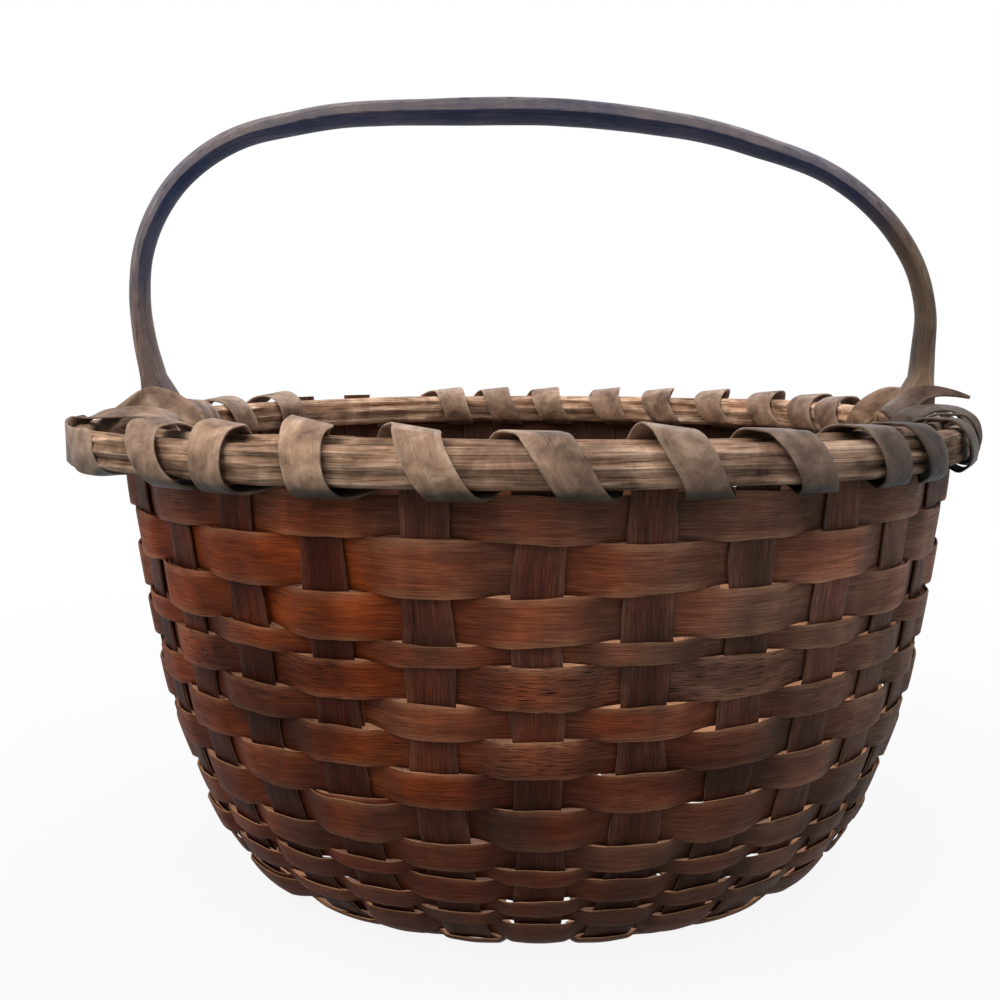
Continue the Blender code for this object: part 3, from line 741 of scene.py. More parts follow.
    def half(self, sign: int) -> tuple[Array, Array, Array]:
        """Carry the splint along one half.

        Args:
            sign: 1 for the half that runs ahead, -1 for the other.

        Returns:
            The centres, and the crosswise and outward directions at each station.
        """
        lengths, base = self.lengths(sign)
        centre = self.plan(lengths, sign)
        along = unit(np.gradient(centre, axis=0))
        radial, upward = wall_slope(np.minimum(lengths, length_at_height(WALL.hoop_bottom)))
        outward = unit(centre * np.array([1.0, 1.0, 0.0]))
        normal = outward * radial[:, None] + UP * upward[:, None]
        on_base = np.isfinite(base)
        flat = self.onto_base.at(base[on_base].max() - np.where(on_base, base, 1.0))[:, None]
        normal = unit(normal * (1 - flat) - UP * flat)
        normal = unit(normal - along * np.sum(normal * along, axis=1, keepdims=True))
        across = np.cross(normal, along)
        across = across * np.sign(across @ self.aside)[:, None]
        return centre + normal * self.weave_shift(base, sign)[:, None], across, normal

    def skin(self) -> Skin:
        """Join both halves and dress the splint.

        Returns:
            The whole splint's skin: paler wood and painted light on its inner face, paler at its cut ends.
        """
        centre, across, normal = (np.concatenate([b[::-1], f]) for b, f in zip(self.half(-1), self.half(1)))
        seed = self.index + (0 if self.family is Family.FRONT else self.side_seed)
        along = run_lengths(centre)
        sway = self.sway.at(along, seed)
        half = WEAVE.stake_width / 2 + self.uneven.at(along, seed)
        up_wall = self.up_wall.at(centre[:, 2])
        girth = np.maximum(np.hypot(centre[:, 0], centre[:, 1]), self.least_girth)
        ribbon = Ribbon(centre + across * (sway * up_wall)[:, None], across, normal, half,
                        WEAVE.stake_thickness, half**2 / 2 / girth * up_wall, seed)
        rings = ribbon.rings()
        shares, depths = ribbon.outline()
        rng = np.random.default_rng(seed + self.tone_seed)
        tone = self.tone + self.tone_spread * rng.uniform(-1, 1) + self.tone_waves.at(along, seed)[:, None]
        sideways = centre[:, :1] * np.sign(self.seen_depth - centre[:, 1:2])
        left = self.left_darkening * self.to_side.at(-sideways)
        tone = tone * (1 - left + self.right_lightening * self.to_side.at(sideways))
        # Inner faces: paler wood and painted light lifting their shade.
        pale_and_lit_inside = PATINA.inside(rings, depths)
        warmth = np.clip(PATINA.warmth(rings) + self.warmth_spread * rng.uniform(-1, 1), 0, 1)
        cut_end = self.cut_shade * self.cut_end.at(rings[..., 2])
        traits = {
            "warmth": warmth * (1 - PATINA.inside_cooling * pale_and_lit_inside),
            "shade": PATINA.shade(rings) * tone * (1 - pale_and_lit_inside) + PATINA.inside_painted_light * pale_and_lit_inside + cut_end,
            "wear": np.abs(shares)[None, :] ** self.edge_power * self.worn_edge + PATINA.inside_paling * pale_and_lit_inside,
            "dry": self.dry + self.dry_spread * rng.uniform(-1, 1),
        }
        return Skin(f"{self.family}_{self.index + 1:02d}_wood", rings, ribbon.grain(), traits)

    def angle_at(self, length: float, sign: int) -> float:
        """Return its angle round the basket at a length along the wall, in degrees."""
        point = self.plan(np.array([length]), sign)[0]
        return math.degrees(math.atan2(point[0], -point[1])) % 360


@dataclass
class WeaverRow:
    """One row: in front of a stake and behind the next, its ends lapped over three stakes."""

    row: int
    angles: Array
    seed: int = 200
    stations: int = 26
    bulge: float = 0.45 * MM
    hang: Pair = (0.35 * MM, 0.60 * MM)
    droop: Pair = (0.05 * MM, -0.75 * MM)
    slit: float = 0.20 * MM
    loose_slit: float = 1.4 * MM
    tuck: float = 3.2 * MM
    slit_share: float = 0.65
    most_slit: float = 1.4
    slit_waves: Ripple = Ripple(700, 41.0, 0.45)
    border_waves: Ripple = Ripple(900, 95.0, 0.50 * MM)
    edge_waves: Ripple = Ripple(950, 23.0, 0.26 * MM)
    border_gap: float = 0.11 * MM
    to_loose: Fade = Fade(4, 8)
    to_back_pass: Fade = Fade(-0.1, -0.65)
    under_hoop: float = 1.6 * MM
    under_back_hoop: float = 2.1 * MM
    behind_foot: float = 1.0 * MM
    pass_waves: Ripple = Ripple(350, 29.0, 0.09)
    tone_waves: Ripple = Ripple(300, 50.0, 0.05)
    warmth_waves: Ripple = Ripple(400, 70.0, 0.10)
    dry_waves: Ripple = Ripple(500, 60.0, 0.3)
    tone: float = 0.98
    tone_spread: float = 0.07
    warmth_spread: float = 0.10
    # Painted shade where the row goes behind a stake.
    tucked: Fade = Fade(0.85, -0.9)
    tucked_painted_shade: float = 0.30
    edge_power: int = 8

    @property
    def lap(self) -> int:
        """Number of stakes that the ends lap over; the row under the heel laps behind one."""
        return 1 if self.row == len(WEAVE.row_widths) - 1 else 3

    def path(self) -> tuple[Array, Array, Array]:
        """Lead the row in front of a stake and behind the next.

        The offset is level across a stake and eased from one side to the other in the gap. The
        swing is a cosine, 1 at the middle of an outside pass and -1 at that of an inside one.

        Returns:
            The angles, the outward offsets and the swing at each station.
        """
        start = WEAVE.lap_starts[self.row]
        counts = np.arange(WEAVE.ends + self.lap)
        ends = (start + counts) % WEAVE.ends
        centres = np.degrees(np.unwrap(np.radians(self.angles[ends])))
        outside = (ends + self.row) % 2 == 0
        offsets = np.where(outside, WEAVE.weaver_offset, -WEAVE.weaver_offset)
        offsets = offsets + np.where(outside & (counts >= WEAVE.ends), WEAVE.lap_offset, 0.0)
        offsets = offsets - np.where(~outside & (counts < self.lap), WEAVE.lap_offset, 0.0)
        middle = (ROW_EDGES[self.row] + ROW_EDGES[self.row + 1]) / 2
        radius = float(wall_at(middle)[0])
        level = math.degrees((WEAVE.stake_width / 2 + WEAVE.pass_margin) / radius)
        first, last = centres[0] - level, centres[-1] + level
        angle = np.linspace(first, last, self.stations * (len(counts) - 1) + 1)
        index = np.clip(np.searchsorted(centres, angle, side="right") - 1, 0, len(centres) - 2)
        gap = centres[index + 1] - centres[index]
        share = ease((angle - centres[index] - level) / (gap - 2 * level))
        offset = offsets[index] + (offsets[index + 1] - offsets[index]) * share
        bulge = np.cos(math.pi * np.clip((angle - centres[index]) / gap, 0, 1)) ** 2
        offset = offset + np.sign(offset) * self.bulge * bulge * ease(np.abs(offset) / MM)
        swing = np.where(outside[index], 1.0, -1.0) * np.cos(math.pi * (angle - centres[index]) / gap)
        return angle, offset, swing

    def edges(self, angle: Array, swing: Array) -> tuple[Array, Array]:
        """Draw the row's lower and upper edge.

        Two rows share a wavy border. A row's lower edge hangs a little under its outside passes, and
        high on the wall it is drawn up behind the stakes, so that a fine slit opens beside each stake.
        Low on the wall the passes behind the stakes reach down behind the next row, each unevenly.

        Args:
            angle: The angle of each station.
            swing: Which side of the stakes it is on, from -1 inside to 1 outside.

        Returns:
            The lengths along the wall of the lower and the upper edge.
        """
        last = len(WEAVE.row_widths) - 1
        bounds = []
        for border, side in ((self.row + 1, -1), (self.row, 1)):
            loose = float(self.to_loose.at(np.array(border)))
            hang, droop = (tight + slack * loose for tight, slack in (self.hang, self.droop))
            slit = 0.0
            if side < 0 and border <= last:
                share = np.clip(self.slit_share + self.slit_waves.at(angle, border), 0, self.most_slit)
                slit = self.slit * share + loose * (self.loose_slit * share - self.tuck)
            shift = slit * self.to_back_pass.at(swing) - (hang if side < 0 else droop) * np.clip(swing, 0, 1)
            waves = self.border_waves.at(angle, border) + self.edge_waves.at(angle, 2 * self.row + side)
            bounds.append(ROW_EDGES[border] + hang / 2 + waves + side * self.border_gap + shift)
        if self.row == 0:
            back = ease(-2 * np.cos(np.radians(angle)))
            up = self.under_hoop + self.under_back_hoop * back - self.behind_foot * RIM.at_feet(angle % 360)
            bounds[1] = bounds[1] + up
        if self.row == last:
            pull = WEAVE.square_pull * (1 - np.abs(np.sin(np.radians(2 * angle))) ** WEAVE.square_power)
            bounds = [bound - pull for bound in bounds]
        return bounds[0], bounds[1]

    def skin(self) -> Skin:
        """Cut the wall's surface between the row's edges, move it out by the offset and dress it.

        Returns:
            The row's skin: paler wood and painted light on its inner face, and painted shade where it goes
            behind a stake.
        """
        angle, offset, swing = self.path()
        lower, upper = self.edges(angle, swing)
        front = np.clip(offset / WEAVE.weaver_offset, 0, 1)[:, None]
        shares, depths = SPLINT.outline(float(np.mean(upper - lower)), WEAVE.weaver_thickness)
        lengths = lower[:, None] + (upper - lower)[:, None] * ((shares + 1) / 2)[None, :]
        radius, height = wall_at(lengths)
        radial, upward = wall_slope(lengths)
        out = offset[:, None] + depths[None, :] * WEAVE.weaver_thickness / 2
        rings = around(radius + radial * out, angle[:, None], height + upward * out)
        rng = np.random.default_rng(self.row + self.seed)
        along = np.radians(angle)[:, None] * float(np.mean(radius))
        grain = GRAIN.lay(rng, along, lengths + (depths[None, :] < 0) * GRAIN.other_face)
        passes, tones, warmths, dries = (
            waves.at(angle, self.row)[:, None]
            for waves in (self.pass_waves, self.tone_waves, self.warmth_waves, self.dry_waves)
        )
        tone = self.tone + self.tone_spread * rng.uniform(-1, 1) + tones + passes
        # Painted shade where the row goes behind a stake.
        tone = tone * (1 - self.tucked_painted_shade * self.tucked.at(swing[:, None]))
        warm = PATINA.warmth(rings) + self.warmth_spread * rng.uniform(-1, 1) + warmths + passes
        # Inner faces: paler wood and painted light lifting their shade.
        pale_and_lit_inside = PATINA.inside(rings, depths)
        traits = {
            "warmth": np.clip(warm, 0, 1) * (1 - PATINA.inside_cooling * pale_and_lit_inside),
            "shade": PATINA.shade(rings) * tone * (1 - pale_and_lit_inside) + PATINA.inside_painted_light * pale_and_lit_inside,
            "wear": np.abs(shares)[None, :] ** self.edge_power * front + PATINA.inside_paling * pale_and_lit_inside,
            "dry": WEAVE.dryness[self.row] * (1 + dries),
        }
        return Skin(f"weaver_row_{self.row + 1:02d}_wood", rings, grain, traits)


@dataclass
class Body:
    """The basket's body: fifteen stake splints and seventeen rows of weavers."""

    def stakes(self) -> list[StakeSplint]:
        """Lay out the stake splints of both directions.

        Returns:
            The splints that run from front to back, and then those that run from side to side.
        """
        forward, sideways = np.array([0.0, -1.0, 0.0]), np.array([1.0, 0.0, 0.0])
        families = (
            (Family.FRONT, forward, sideways, WEAVE.front_splints, WEAVE.side_splints),
            (Family.SIDE, sideways, -forward, WEAVE.side_splints, WEAVE.front_splints),
        )
        return [
            StakeSplint(family, index, ahead, aside, count, crossed)
            for family, ahead, aside, count, crossed in families for index in range(count)
        ]

    def angles(self, stakes: list[StakeSplint], length: float) -> Array:
        """Find where the uprights stand at a length along the wall.

        Args:
            stakes: All stake splints.
            length: The length along the wall.

        Returns:
            The angle of each upright, in the order in which they stand round the rim.
        """
        found = np.zeros(WEAVE.ends)
        rim = WALL_LENGTHS[-1]
        for stake in stakes:
            for sign in (1, -1):
                end = round(stake.angle_at(rim, sign) / WEAVE.step) % WEAVE.ends
                found[end] = stake.angle_at(length, sign)
        return found

    def build(self, finishes: dict[Slot, Material]) -> None:
        """Make every splint of the body.

        Args:
            finishes: The material of each slot.
        """
        stakes = self.stakes()
        for stake in stakes:
            item = stake.skin().build(Slot.STAKE, finishes[Slot.STAKE])
            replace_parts(item, f"{stake.family}_{stake.index + 1:02d}")
        for row in range(len(WEAVE.row_widths)):
            middle = float(ROW_EDGES[row] + ROW_EDGES[row + 1]) / 2
            weaver = WeaverRow(row, self.angles(stakes, middle))
            item = weaver.skin().build(Slot.WEAVER, finishes[Slot.WEAVER])
            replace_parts(item, f"weaver_row_{row + 1:02d}")


# Rim


@dataclass(frozen=True)
class Rim:
    """Sizes of the two riven hoops and of the spiral lashing."""

    hoop_height: float = 15.0 * MM
    outer_drop: float = 1.5 * MM
    outer_thickness: float = 8.0 * MM
    inner_thickness: float = 7.0 * MM
    clearance: float = 0.7 * MM
    foot_reach: float = 2.0 * MM
    seat: float = 0.8 * MM
    notch: float = 6.5 * MM
    notch_gap: float = 0.3 * MM
    left_bow: float = 13.5 * MM
    left_bow_middle: float = 284.0
    left_bow_plateau: float = 6.0
    left_bow_spread: float = 40.0
    back_lift: float = 2.7 * MM
    scarf: float = 22.0
    outer_scarf: float = 143.0
    inner_scarf: float = 318.0
    scarf_tip: float = 1.2 * MM
    scarf_gap: float = 0.6 * MM
    scarf_span: float = 2.5
    lash_width: float = 16.0 * MM
    lash_thickness: float = 1.0 * MM
    lash_clearance: float = 0.5 * MM
    lash_layer: float = 1.6 * MM
    lash_arch: float = 4.4 * MM
    lash_arches: tuple[Pair, ...] = (
        (-180.0, 0.60), (-130.0, 0.55), (-100.0, 0.30), (-66.0, 0.10), (-48.0, 0.62), (-36.0, 0.64),
        (-24.0, 0.98), (-12.0, 0.50), (0.0, 0.14), (13.0, 0.75), (26.0, 0.10), (38.0, 0.26),
        (46.0, 0.20), (60.0, 0.20), (100.0, 0.30), (130.0, 0.55), (180.0, 0.60),
    )
    lash_shoulder: float = 2.5 * MM
    lash_sag: float = 1.9 * MM
    lash_tilt: float = 1.5 * MM
    lash_slack: float = 0.6 * MM
    lash_crown: float = 2.5 * MM
    lash_front_shoulder: float = 3.4 * MM
    lash_back_shoulder: float = 3.0 * MM
    lash_back_rise: float = 0.1
    lash_corner: float = 2.4 * MM
    lash_under_gap: float = 0.2 * MM
    lash_layer_gap: float = 0.1 * MM
    lash_foot: float = 1.6 * MM
    warp_back: Fade = Fade(0.10, -0.95)
    warp_height: Fade = Fade(0.085, 0.085)
    left_hang: float = 0.9 * MM
    left_hang_middle: float = -58.0
    left_hang_plateau: float = 8.0
    left_hang_spread: float = 46.0

    def bow(self, angle: Array, middle: float, plateau: float = 5.0, spread: float = 18.0) -> Array:
        """Return 1 near the bow's middle, such as a handle foot, and 0 beyond its spread."""
        away = np.abs((angle - middle + 180) % 360 - 180)
        return ease((spread - away) / (spread - plateau))

    def at_feet(self, angle: Array) -> Array:
        """Return 1 at either handle foot and 0 away from them."""
        return self.bow(angle, 90) + self.bow(angle, 270)

    def outer_inside(self, angle: Array) -> Array:
        """Return the radius of the outer hoop's inner face.

        Args:
            angle: The angles round the rim.

        Returns:
            The radius at each angle.
        """
        plain = WALL.rim_radius + WEAVE.stake_thickness / 2 + self.clearance
        seat = WALL.rim_radius + self.foot_reach + self.seat
        bowed = self.bow(angle, self.left_bow_middle, self.left_bow_plateau, self.left_bow_spread)
        return plain + (seat - plain) * self.at_feet(angle) + self.left_bow * bowed

    def inner_outside(self, angle: Array) -> Array:
        """Return the radius of the inner hoop's outer face.

        Args:
            angle: The angles round the rim.

        Returns:
            The radius at each angle.
        """
        plain = WALL.rim_radius - WEAVE.stake_thickness / 2 - self.clearance
        seat = WALL.rim_radius - self.notch - self.notch_gap
        return plain - (plain - seat) * self.at_feet(angle)

    def warped(self, points: Array) -> Array:
        """Carry points with the rim's slow warp: its back stands higher and its left front hangs.

        Args:
            points: The points of a piece, as drawn on a level rim.

        Returns:
            The points, lifted at the back and lowered at the left front, less so down the wall.
        """
        angle = np.degrees(np.arctan2(points[..., 0], -points[..., 1]))
        back = self.back_lift * self.warp_back.at(np.cos(np.radians(angle)))
        hung = self.bow(angle, self.left_hang_middle, self.left_hang_plateau, self.left_hang_spread)
        lift = (back - self.left_hang * hung) * self.warp_height.at(points[..., 2])
        return points + lift[..., None] * UP


RIM = Rim()


@dataclass
class Hoop:
    """A hoop riven from a billet: a rounded bar with long flats, its thinned ends scarfed."""

    name: str
    outward: int
    thickness: float
    start: float
    seed: int
    corners: int = 56
    step: float = 0.6
    power: float = 0.42
    samples: int = 2001
    ridges: int = 7
    ridge_reach: float = 1.05
    ridge_height: float = 0.50 * MM
    height_waves: Ripple = Ripple(40, 0.13, 0.05)
    depth_waves: Ripple = Ripple(0, 0.10, 0.32 * MM, 5)
    tone_waves: Ripple = Ripple(60, 0.12, 0.20)
    sag: Ripple = Ripple(20, 0.21, 0.45 * MM)
    outer_part: Fade = Fade(-1.0, 1.2)
    dressed: float = 0.3 * MM
    to_right: Fade = Fade(-0.1, 0.2)
    to_back: Fade = Fade(0.0, 0.06)
    # Painted light and shade by place: darker underneath and at the right end, lighter at the back, most on
    # the inner hoop's back.
    to_right_end: Fade = Fade(0.088, 0.022)
    end_painted_shade: float = 0.42
    inner_hoop: Fade = Fade(0.7, -0.5)
    back_shade: float = 1.30
    inner_back_shade: float = 0.45
    inner_right_shade: float = 0.8
    to_right_back: Fade = Fade(0.0, 0.1)
    front_shade: float = 1.20
    right_shade: float = 0.14
    to_underside: Fade = Fade(0.4, -0.9)
    under_painted_shade: float = 0.45
    warmth: float = 0.60
    right_cooling: float = 0.40
    # Painted highlight on the ridges and painted shade in the clefts; the ridges are also worn pale.
    ridge_shade: float = 0.24
    ridge_wear: float = 0.8
    dry: float = 0.55

    def face(self, angle: Array) -> Array:
        """Return the radius of the face that lies on the stakes."""
        return RIM.outer_inside(angle) if self.outward > 0 else RIM.inner_outside(angle)

    def bounds(self, angle: Array) -> tuple[Array, Array]:
        """Thin the hoop over each end of the scarf, and lift the upper end over the lower.

        Args:
            angle: The angles along the hoop.

        Returns:
            The depth of the near and of the far face, from the stakes.
        """
        into = ease((angle - self.start) / RIM.scarf)
        beyond = (angle - self.start - 360) / RIM.scarf
        lift = RIM.scarf_tip + RIM.scarf_gap
        full = self.thickness - RIM.scarf_tip
        near = lift * ease(1 + 2 * beyond) + full * np.clip(beyond, 0, 1)
        far = RIM.scarf_tip + full * into + (RIM.scarf_gap + RIM.scarf_tip) * ease(1 + 2 * beyond)
        return near, far

    def outline(self) -> tuple[Array, Array, Array]:
        """Space the points of the outline evenly round it.

        The outline is a superellipse: each share is the sine or cosine to a power below 1.

        Returns:
            The shares across and up, and the run round the outline, of each point.
        """
        turn = np.linspace(0, 2 * math.pi, self.samples)
        across = np.sign(np.cos(turn)) * np.abs(np.cos(turn)) ** self.power
        upward = np.sign(np.sin(turn)) * np.abs(np.sin(turn)) ** self.power
        run = run_lengths(np.stack([across * self.thickness, upward * RIM.hoop_height], -1) / 2)
        wanted = np.linspace(0, run[-1], self.corners, endpoint=False)
        return np.interp(wanted, run, across)[None, :], np.interp(wanted, run, upward)[None, :], wanted

    def riven(self, along: Array, upward: Array) -> tuple[Array, Array]:
        """Split the face along the fibres.

        Long ridges run along the hoop, each wandering in height and depth by ripples of its own.
        The face is flat between two ridges and has a painted light tone of its own.

        Args:
            along: The places along the hoop.
            upward: Each outline point's share of the half height.

        Returns:
            How far riving left the face in or out, and the painted light tone, at each place and point.
        """
        relief = np.zeros((len(along), len(upward)))
        tone = np.zeros_like(relief)
        middles = np.linspace(-self.ridge_reach, self.ridge_reach, self.ridges)
        heights, depths = [], []
        for count, middle in enumerate(middles):
            depth = self.ridge_height if count % 2 else -self.ridge_height
            heights.append(middle + self.height_waves.at(along, self.seed + count))
            depths.append(depth + self.depth_waves.at(along, self.seed + count))
        for low in range(self.ridges - 1):
            share = (upward[None, :] - heights[low][:, None]) / (heights[low + 1] - heights[low])[:, None]
            face = depths[low][:, None] + (depths[low + 1] - depths[low])[:, None] * share
            on_face = (share >= 0) & (share <= 1)
            relief = np.where(on_face, face, relief)
            tone = np.where(on_face, self.tone_waves.at(along, self.seed + low)[:, None], tone)
        return relief, tone

    def skin(self) -> Skin:
        """Bend the outline round the rim, split its outer part and dress it.

        Returns:
            The hoop's skin: pale front ridges (wear, painted highlight), painted shade below and at the right
            end.
        """
        end = self.start + 360 + RIM.scarf
        angle = np.arange(self.start, end + self.step / 2, self.step)
        across, upward, place = self.outline()
        near, far = self.bounds(angle)
        along = np.radians(angle) * WALL.rim_radius
        depth = near[:, None] + (far - near)[:, None] * (across + 1) / 2
        top = WALL.rim_height - (RIM.outer_drop if self.outward > 0 else 0.0)
        half = (top - WALL.hoop_bottom) / 2
        height = top - half + upward * half
        outer = self.outer_part.at(across)
        riven, tone = self.riven(along, upward[0])
        sag = self.sag.at(along, self.seed)[:, None]
        radius = self.face(angle)[:, None] + self.outward * (depth + (riven - self.dressed) * outer)
        rings = around(radius, angle[:, None], height + sag / 2 - self.dressed * ease(upward))
        rng = np.random.default_rng(self.seed)
        grain = GRAIN.lay(rng, along[:, None], place[None, :])
        traits = {
            "warmth": self.warmth - self.right_cooling * self.to_right.at(rings[..., 0])
            * (1 - self.to_back.at(rings[..., 1])),
            # shade holds painted light and shade by place, and a painted highlight on the ridges.
            "shade": self.light(rings, upward) * (1 + tone) + riven / MM * self.ridge_shade,
            "wear": np.clip(riven / MM * self.ridge_wear, 0, 1),
            "dry": self.dry,
        }
        return Skin(f"{self.name}_wood", rings, grain, traits, sharp=24)

    def light(self, rings: Array, upward: Array) -> Array:
        """Work out the shade by place, for the front and for the back.

        Args:
            rings: The hoop's points.
            upward: Each outline point's share of the half height.

        Returns:
            The shade at each point.
        """
        back = self.to_back.at(rings[..., 1])
        ends = 1 - self.end_painted_shade * self.to_right_end.at(rings[..., 0])
        front = (self.front_shade + self.right_shade * self.to_right.at(rings[..., 0])) * ends
        inner = self.inner_back_shade + self.inner_right_shade * self.to_right_back.at(rings[..., 0])
        at_back = self.back_shade + self.inner_hoop.at(self.outward) * inner
        low = 1 - self.under_painted_shade * self.to_underside.at(upward)
        return (front * (1 - back) + at_back * back) * low


@dataclass
class LashStrip:
    """A lashing splint swept along a route of angle, place and slack.

    A whole place is a corner of the outline round both hoops: 0 is the top's middle, 1 to 4 run
    down the outer face, 5 is the middle underneath, and 6 to 9 run up the inner face. The lead and
    the tail are free stations before and after the route: the middle's x, y and z, and from there
    to the right-hand edge x, y and z, in millimetres.
    """

    name: str
    node: str
    route: Route
    layer: int
    seed: int
    lead: Table = ()
    tail: Table = ()
    step: float = 0.9 * MM
    uneven: Ripple = Ripple(0, 0.07, 0.25 * MM)
    to_full_width: Fade = Fade(0.0, 3 * MM)
    tone_waves: Ripple = Ripple(3, 0.09, 0.07)
    drawn_places: Row = (0, 1, 2, 3, 7, 8, 9, 10)
    drawn: Row = (1.0, 0.9, 0.3, 0.0, 0.0, 0.2, 0.7, 1.0)
    # Painted shade at the front: towards the right and at the right end; the left end is darker too.
    to_front: Fade = Fade(0.05, -0.10)
    to_right: Fade = Fade(-0.06, 0.20)
    to_left_end: Fade = Fade(-0.11, -0.03)
    to_right_end: Fade = Fade(0.090, 0.04)
    left_end_darkening: float = 0.30
    right_end_painted_shade: float = 0.58
    # Painted shade down the front's face, warmer with it, and on faces that look down under the hoops.
    down_face: Fade = Fade(0.1875, -0.0145)
    low_painted_shade: Pair = (0.25, 0.38)
    facing_down: Fade = Fade(0.3, 0.4)
    below: Fade = Fade(0.1770, -0.001)
    under_painted_shade: float = 0.75
    shade: float = 1.08
    right_painted_shade: float = 0.56
    warmth: float = 0.62
    right_cooling: float = 0.45
    low_warming: float = 0.35
    worn_edge: float = 0.8
    edge_power: int = 8
    dry: float = 0.18

    def lifted(self, angle: float, start: float) -> bool:
        """Tell whether a turn at this angle passes over a hoop's scarf."""
        return (angle - start + RIM.scarf) % 360 < RIM.scarf_span * RIM.scarf

    def looseness(self, angle: float) -> float:
        """Return how high the turn at an angle arches over the hoops, as a share of the highest."""
        angles, shares = zip(*RIM.lash_arches)
        return float(np.interp((angle + 180) % 360 - 180, angles, shares))

    def corners(self, angle: float) -> Array:
        """Draw the outline round both hoops that the strip follows at an angle.

        Outside and underneath the strip hangs slack, so its lowest corner is below the rest.

        Args:
            angle: The angle round the rim.

        Returns:
            The ten corners, as radius and height.
        """
        clear = RIM.lash_clearance + RIM.lash_thickness / 2 + self.layer * RIM.lash_layer
        under = RIM.lash_thickness / 2 + self.layer * (RIM.lash_thickness + RIM.lash_layer_gap)
        under += RIM.lash_under_gap
        outside = float(RIM.outer_inside(angle)) + RIM.outer_thickness + clear
        inside = float(RIM.inner_outside(angle)) - RIM.inner_thickness - clear
        outside += (RIM.scarf_gap + RIM.scarf_tip) * self.lifted(angle, RIM.outer_scarf)
        inside -= (RIM.scarf_gap + RIM.scarf_tip) * self.lifted(angle, RIM.inner_scarf)
        arch, shoulder = (height * self.looseness(angle) for height in (RIM.lash_arch, RIM.lash_shoulder))
        top, bottom = WALL.rim_height + clear, WALL.hoop_bottom - under
        middle, corner = (outside + inside) / 2, RIM.lash_corner
        return np.array([
            (middle + RIM.lash_crown, top + arch),
            (outside - RIM.lash_front_shoulder, top + shoulder),
            (outside, top - corner),
            (outside + RIM.lash_layer_gap, bottom + corner / 2 - RIM.lash_sag),
            (outside - RIM.lash_foot, bottom - RIM.lash_sag),
            (middle, bottom),
            (inside + corner, bottom),
            (inside, bottom + corner),
            (inside, top - corner),
            (inside + RIM.lash_back_shoulder, top + shoulder * RIM.lash_back_rise),
        ])

    def point(self, angle: float, place: float, slack: float) -> Array:
        """Find a point of the strip's middle surface between two corners.

        Args:
            angle: The angle round the rim.
            place: The place on the outline, in corners.
            slack: How far outside the outline it lies.

        Returns:
            The point.
        """
        corners = self.corners(angle)
        first = int(math.floor(place))
        share = place - first
        radius, height = corners[first % 10] * (1 - share) + corners[(first + 1) % 10] * share
        return around(np.array(radius + slack), np.array(angle), np.array(height))

    def rails(self) -> tuple[Array, Array]:
        """Carry both edges of the strip along; over the top the right-hand one is drawn tighter.

        Returns:
            The left-hand and the right-hand edge, one point for each station.
        """
        left, right = [], []
        for angle, place, slack in self.route:
            corner = place % 10
            radius = WALL.rim_radius if 4 <= corner <= 6 else float(self.corners(angle)[int(corner)][0])
            spread = math.degrees(RIM.lash_width / 2 / radius)
            drawn = float(np.interp(corner, self.drawn_places, self.drawn))
            tilt = drawn * RIM.lash_tilt * self.looseness(angle) * UP
            left.append(self.point(angle - spread, place, slack) + tilt)
            right.append(self.point(angle + spread, place, slack) - tilt)
        before, after = (np.array(rows).reshape(-1, 2, 3) * MM for rows in (self.lead, self.tail))
        left, right = (
            np.vstack([
                before[:, 0] + side * before[:, 1], np.array(edge).reshape(-1, 3),
                after[:, 0] + side * after[:, 1],
            ])
            for side, edge in ((-1, left), (1, right))
        )
        return left, right

    def skin(self) -> Skin:
        """Lay the splint between its edges, both smooth lines, and dress it.

        Returns:
            The strip's skin: painted shade down the front's face, underneath and to the right; darker ends.
        """
        left, right = self.rails()
        stations = run_lengths((left + right) / 2)
        wanted = np.arange(0, stations[-1], self.step)
        left, right = hermite(left, stations, wanted), hermite(right, stations, wanted)
        centre = (left + right) / 2
        half = np.linalg.norm(right - left, axis=1) / 2
        half = half + self.uneven.at(wanted, self.seed) * self.to_full_width.at(half)
        across = unit(right - left)
        normal = unit(np.cross(across, unit(np.gradient(centre, axis=0))))
        ribbon = Ribbon(centre, across, normal, half, RIM.lash_thickness, 0.0, self.seed)
        rings = ribbon.rings()
        x, y, z = rings[..., 0], rings[..., 1], rings[..., 2]
        # Painted shade: towards the right and the ends at the front, down the face and underneath.
        front = self.to_front.at(y)
        right_side = self.to_right.at(x) * front
        ends = self.left_end_darkening * self.to_left_end.at(x)
        ends = ends + self.right_end_painted_shade * self.to_right_end.at(x)
        everywhere, at_front = self.low_painted_shade
        low = 1 - (everywhere + at_front * front) * self.down_face.at(z)
        facing_down = self.facing_down.at(np.abs(normal[:, 2:]))
        under = 1 - self.under_painted_shade * facing_down * self.below.at(z)
        shade = (self.shade - self.right_painted_shade * right_side) * low * under * (1 - ends * front)
        traits = {
            "warmth": self.warmth - self.right_cooling * right_side + self.low_warming * (1 - low),
            "shade": shade * (1 + self.tone_waves.at(wanted, self.seed)[:, None]),
            "wear": np.abs(ribbon.outline()[0])[None, :] ** self.edge_power * self.worn_edge,
            "dry": self.dry,
        }
        return Skin(self.name, rings, ribbon.grain(), traits)


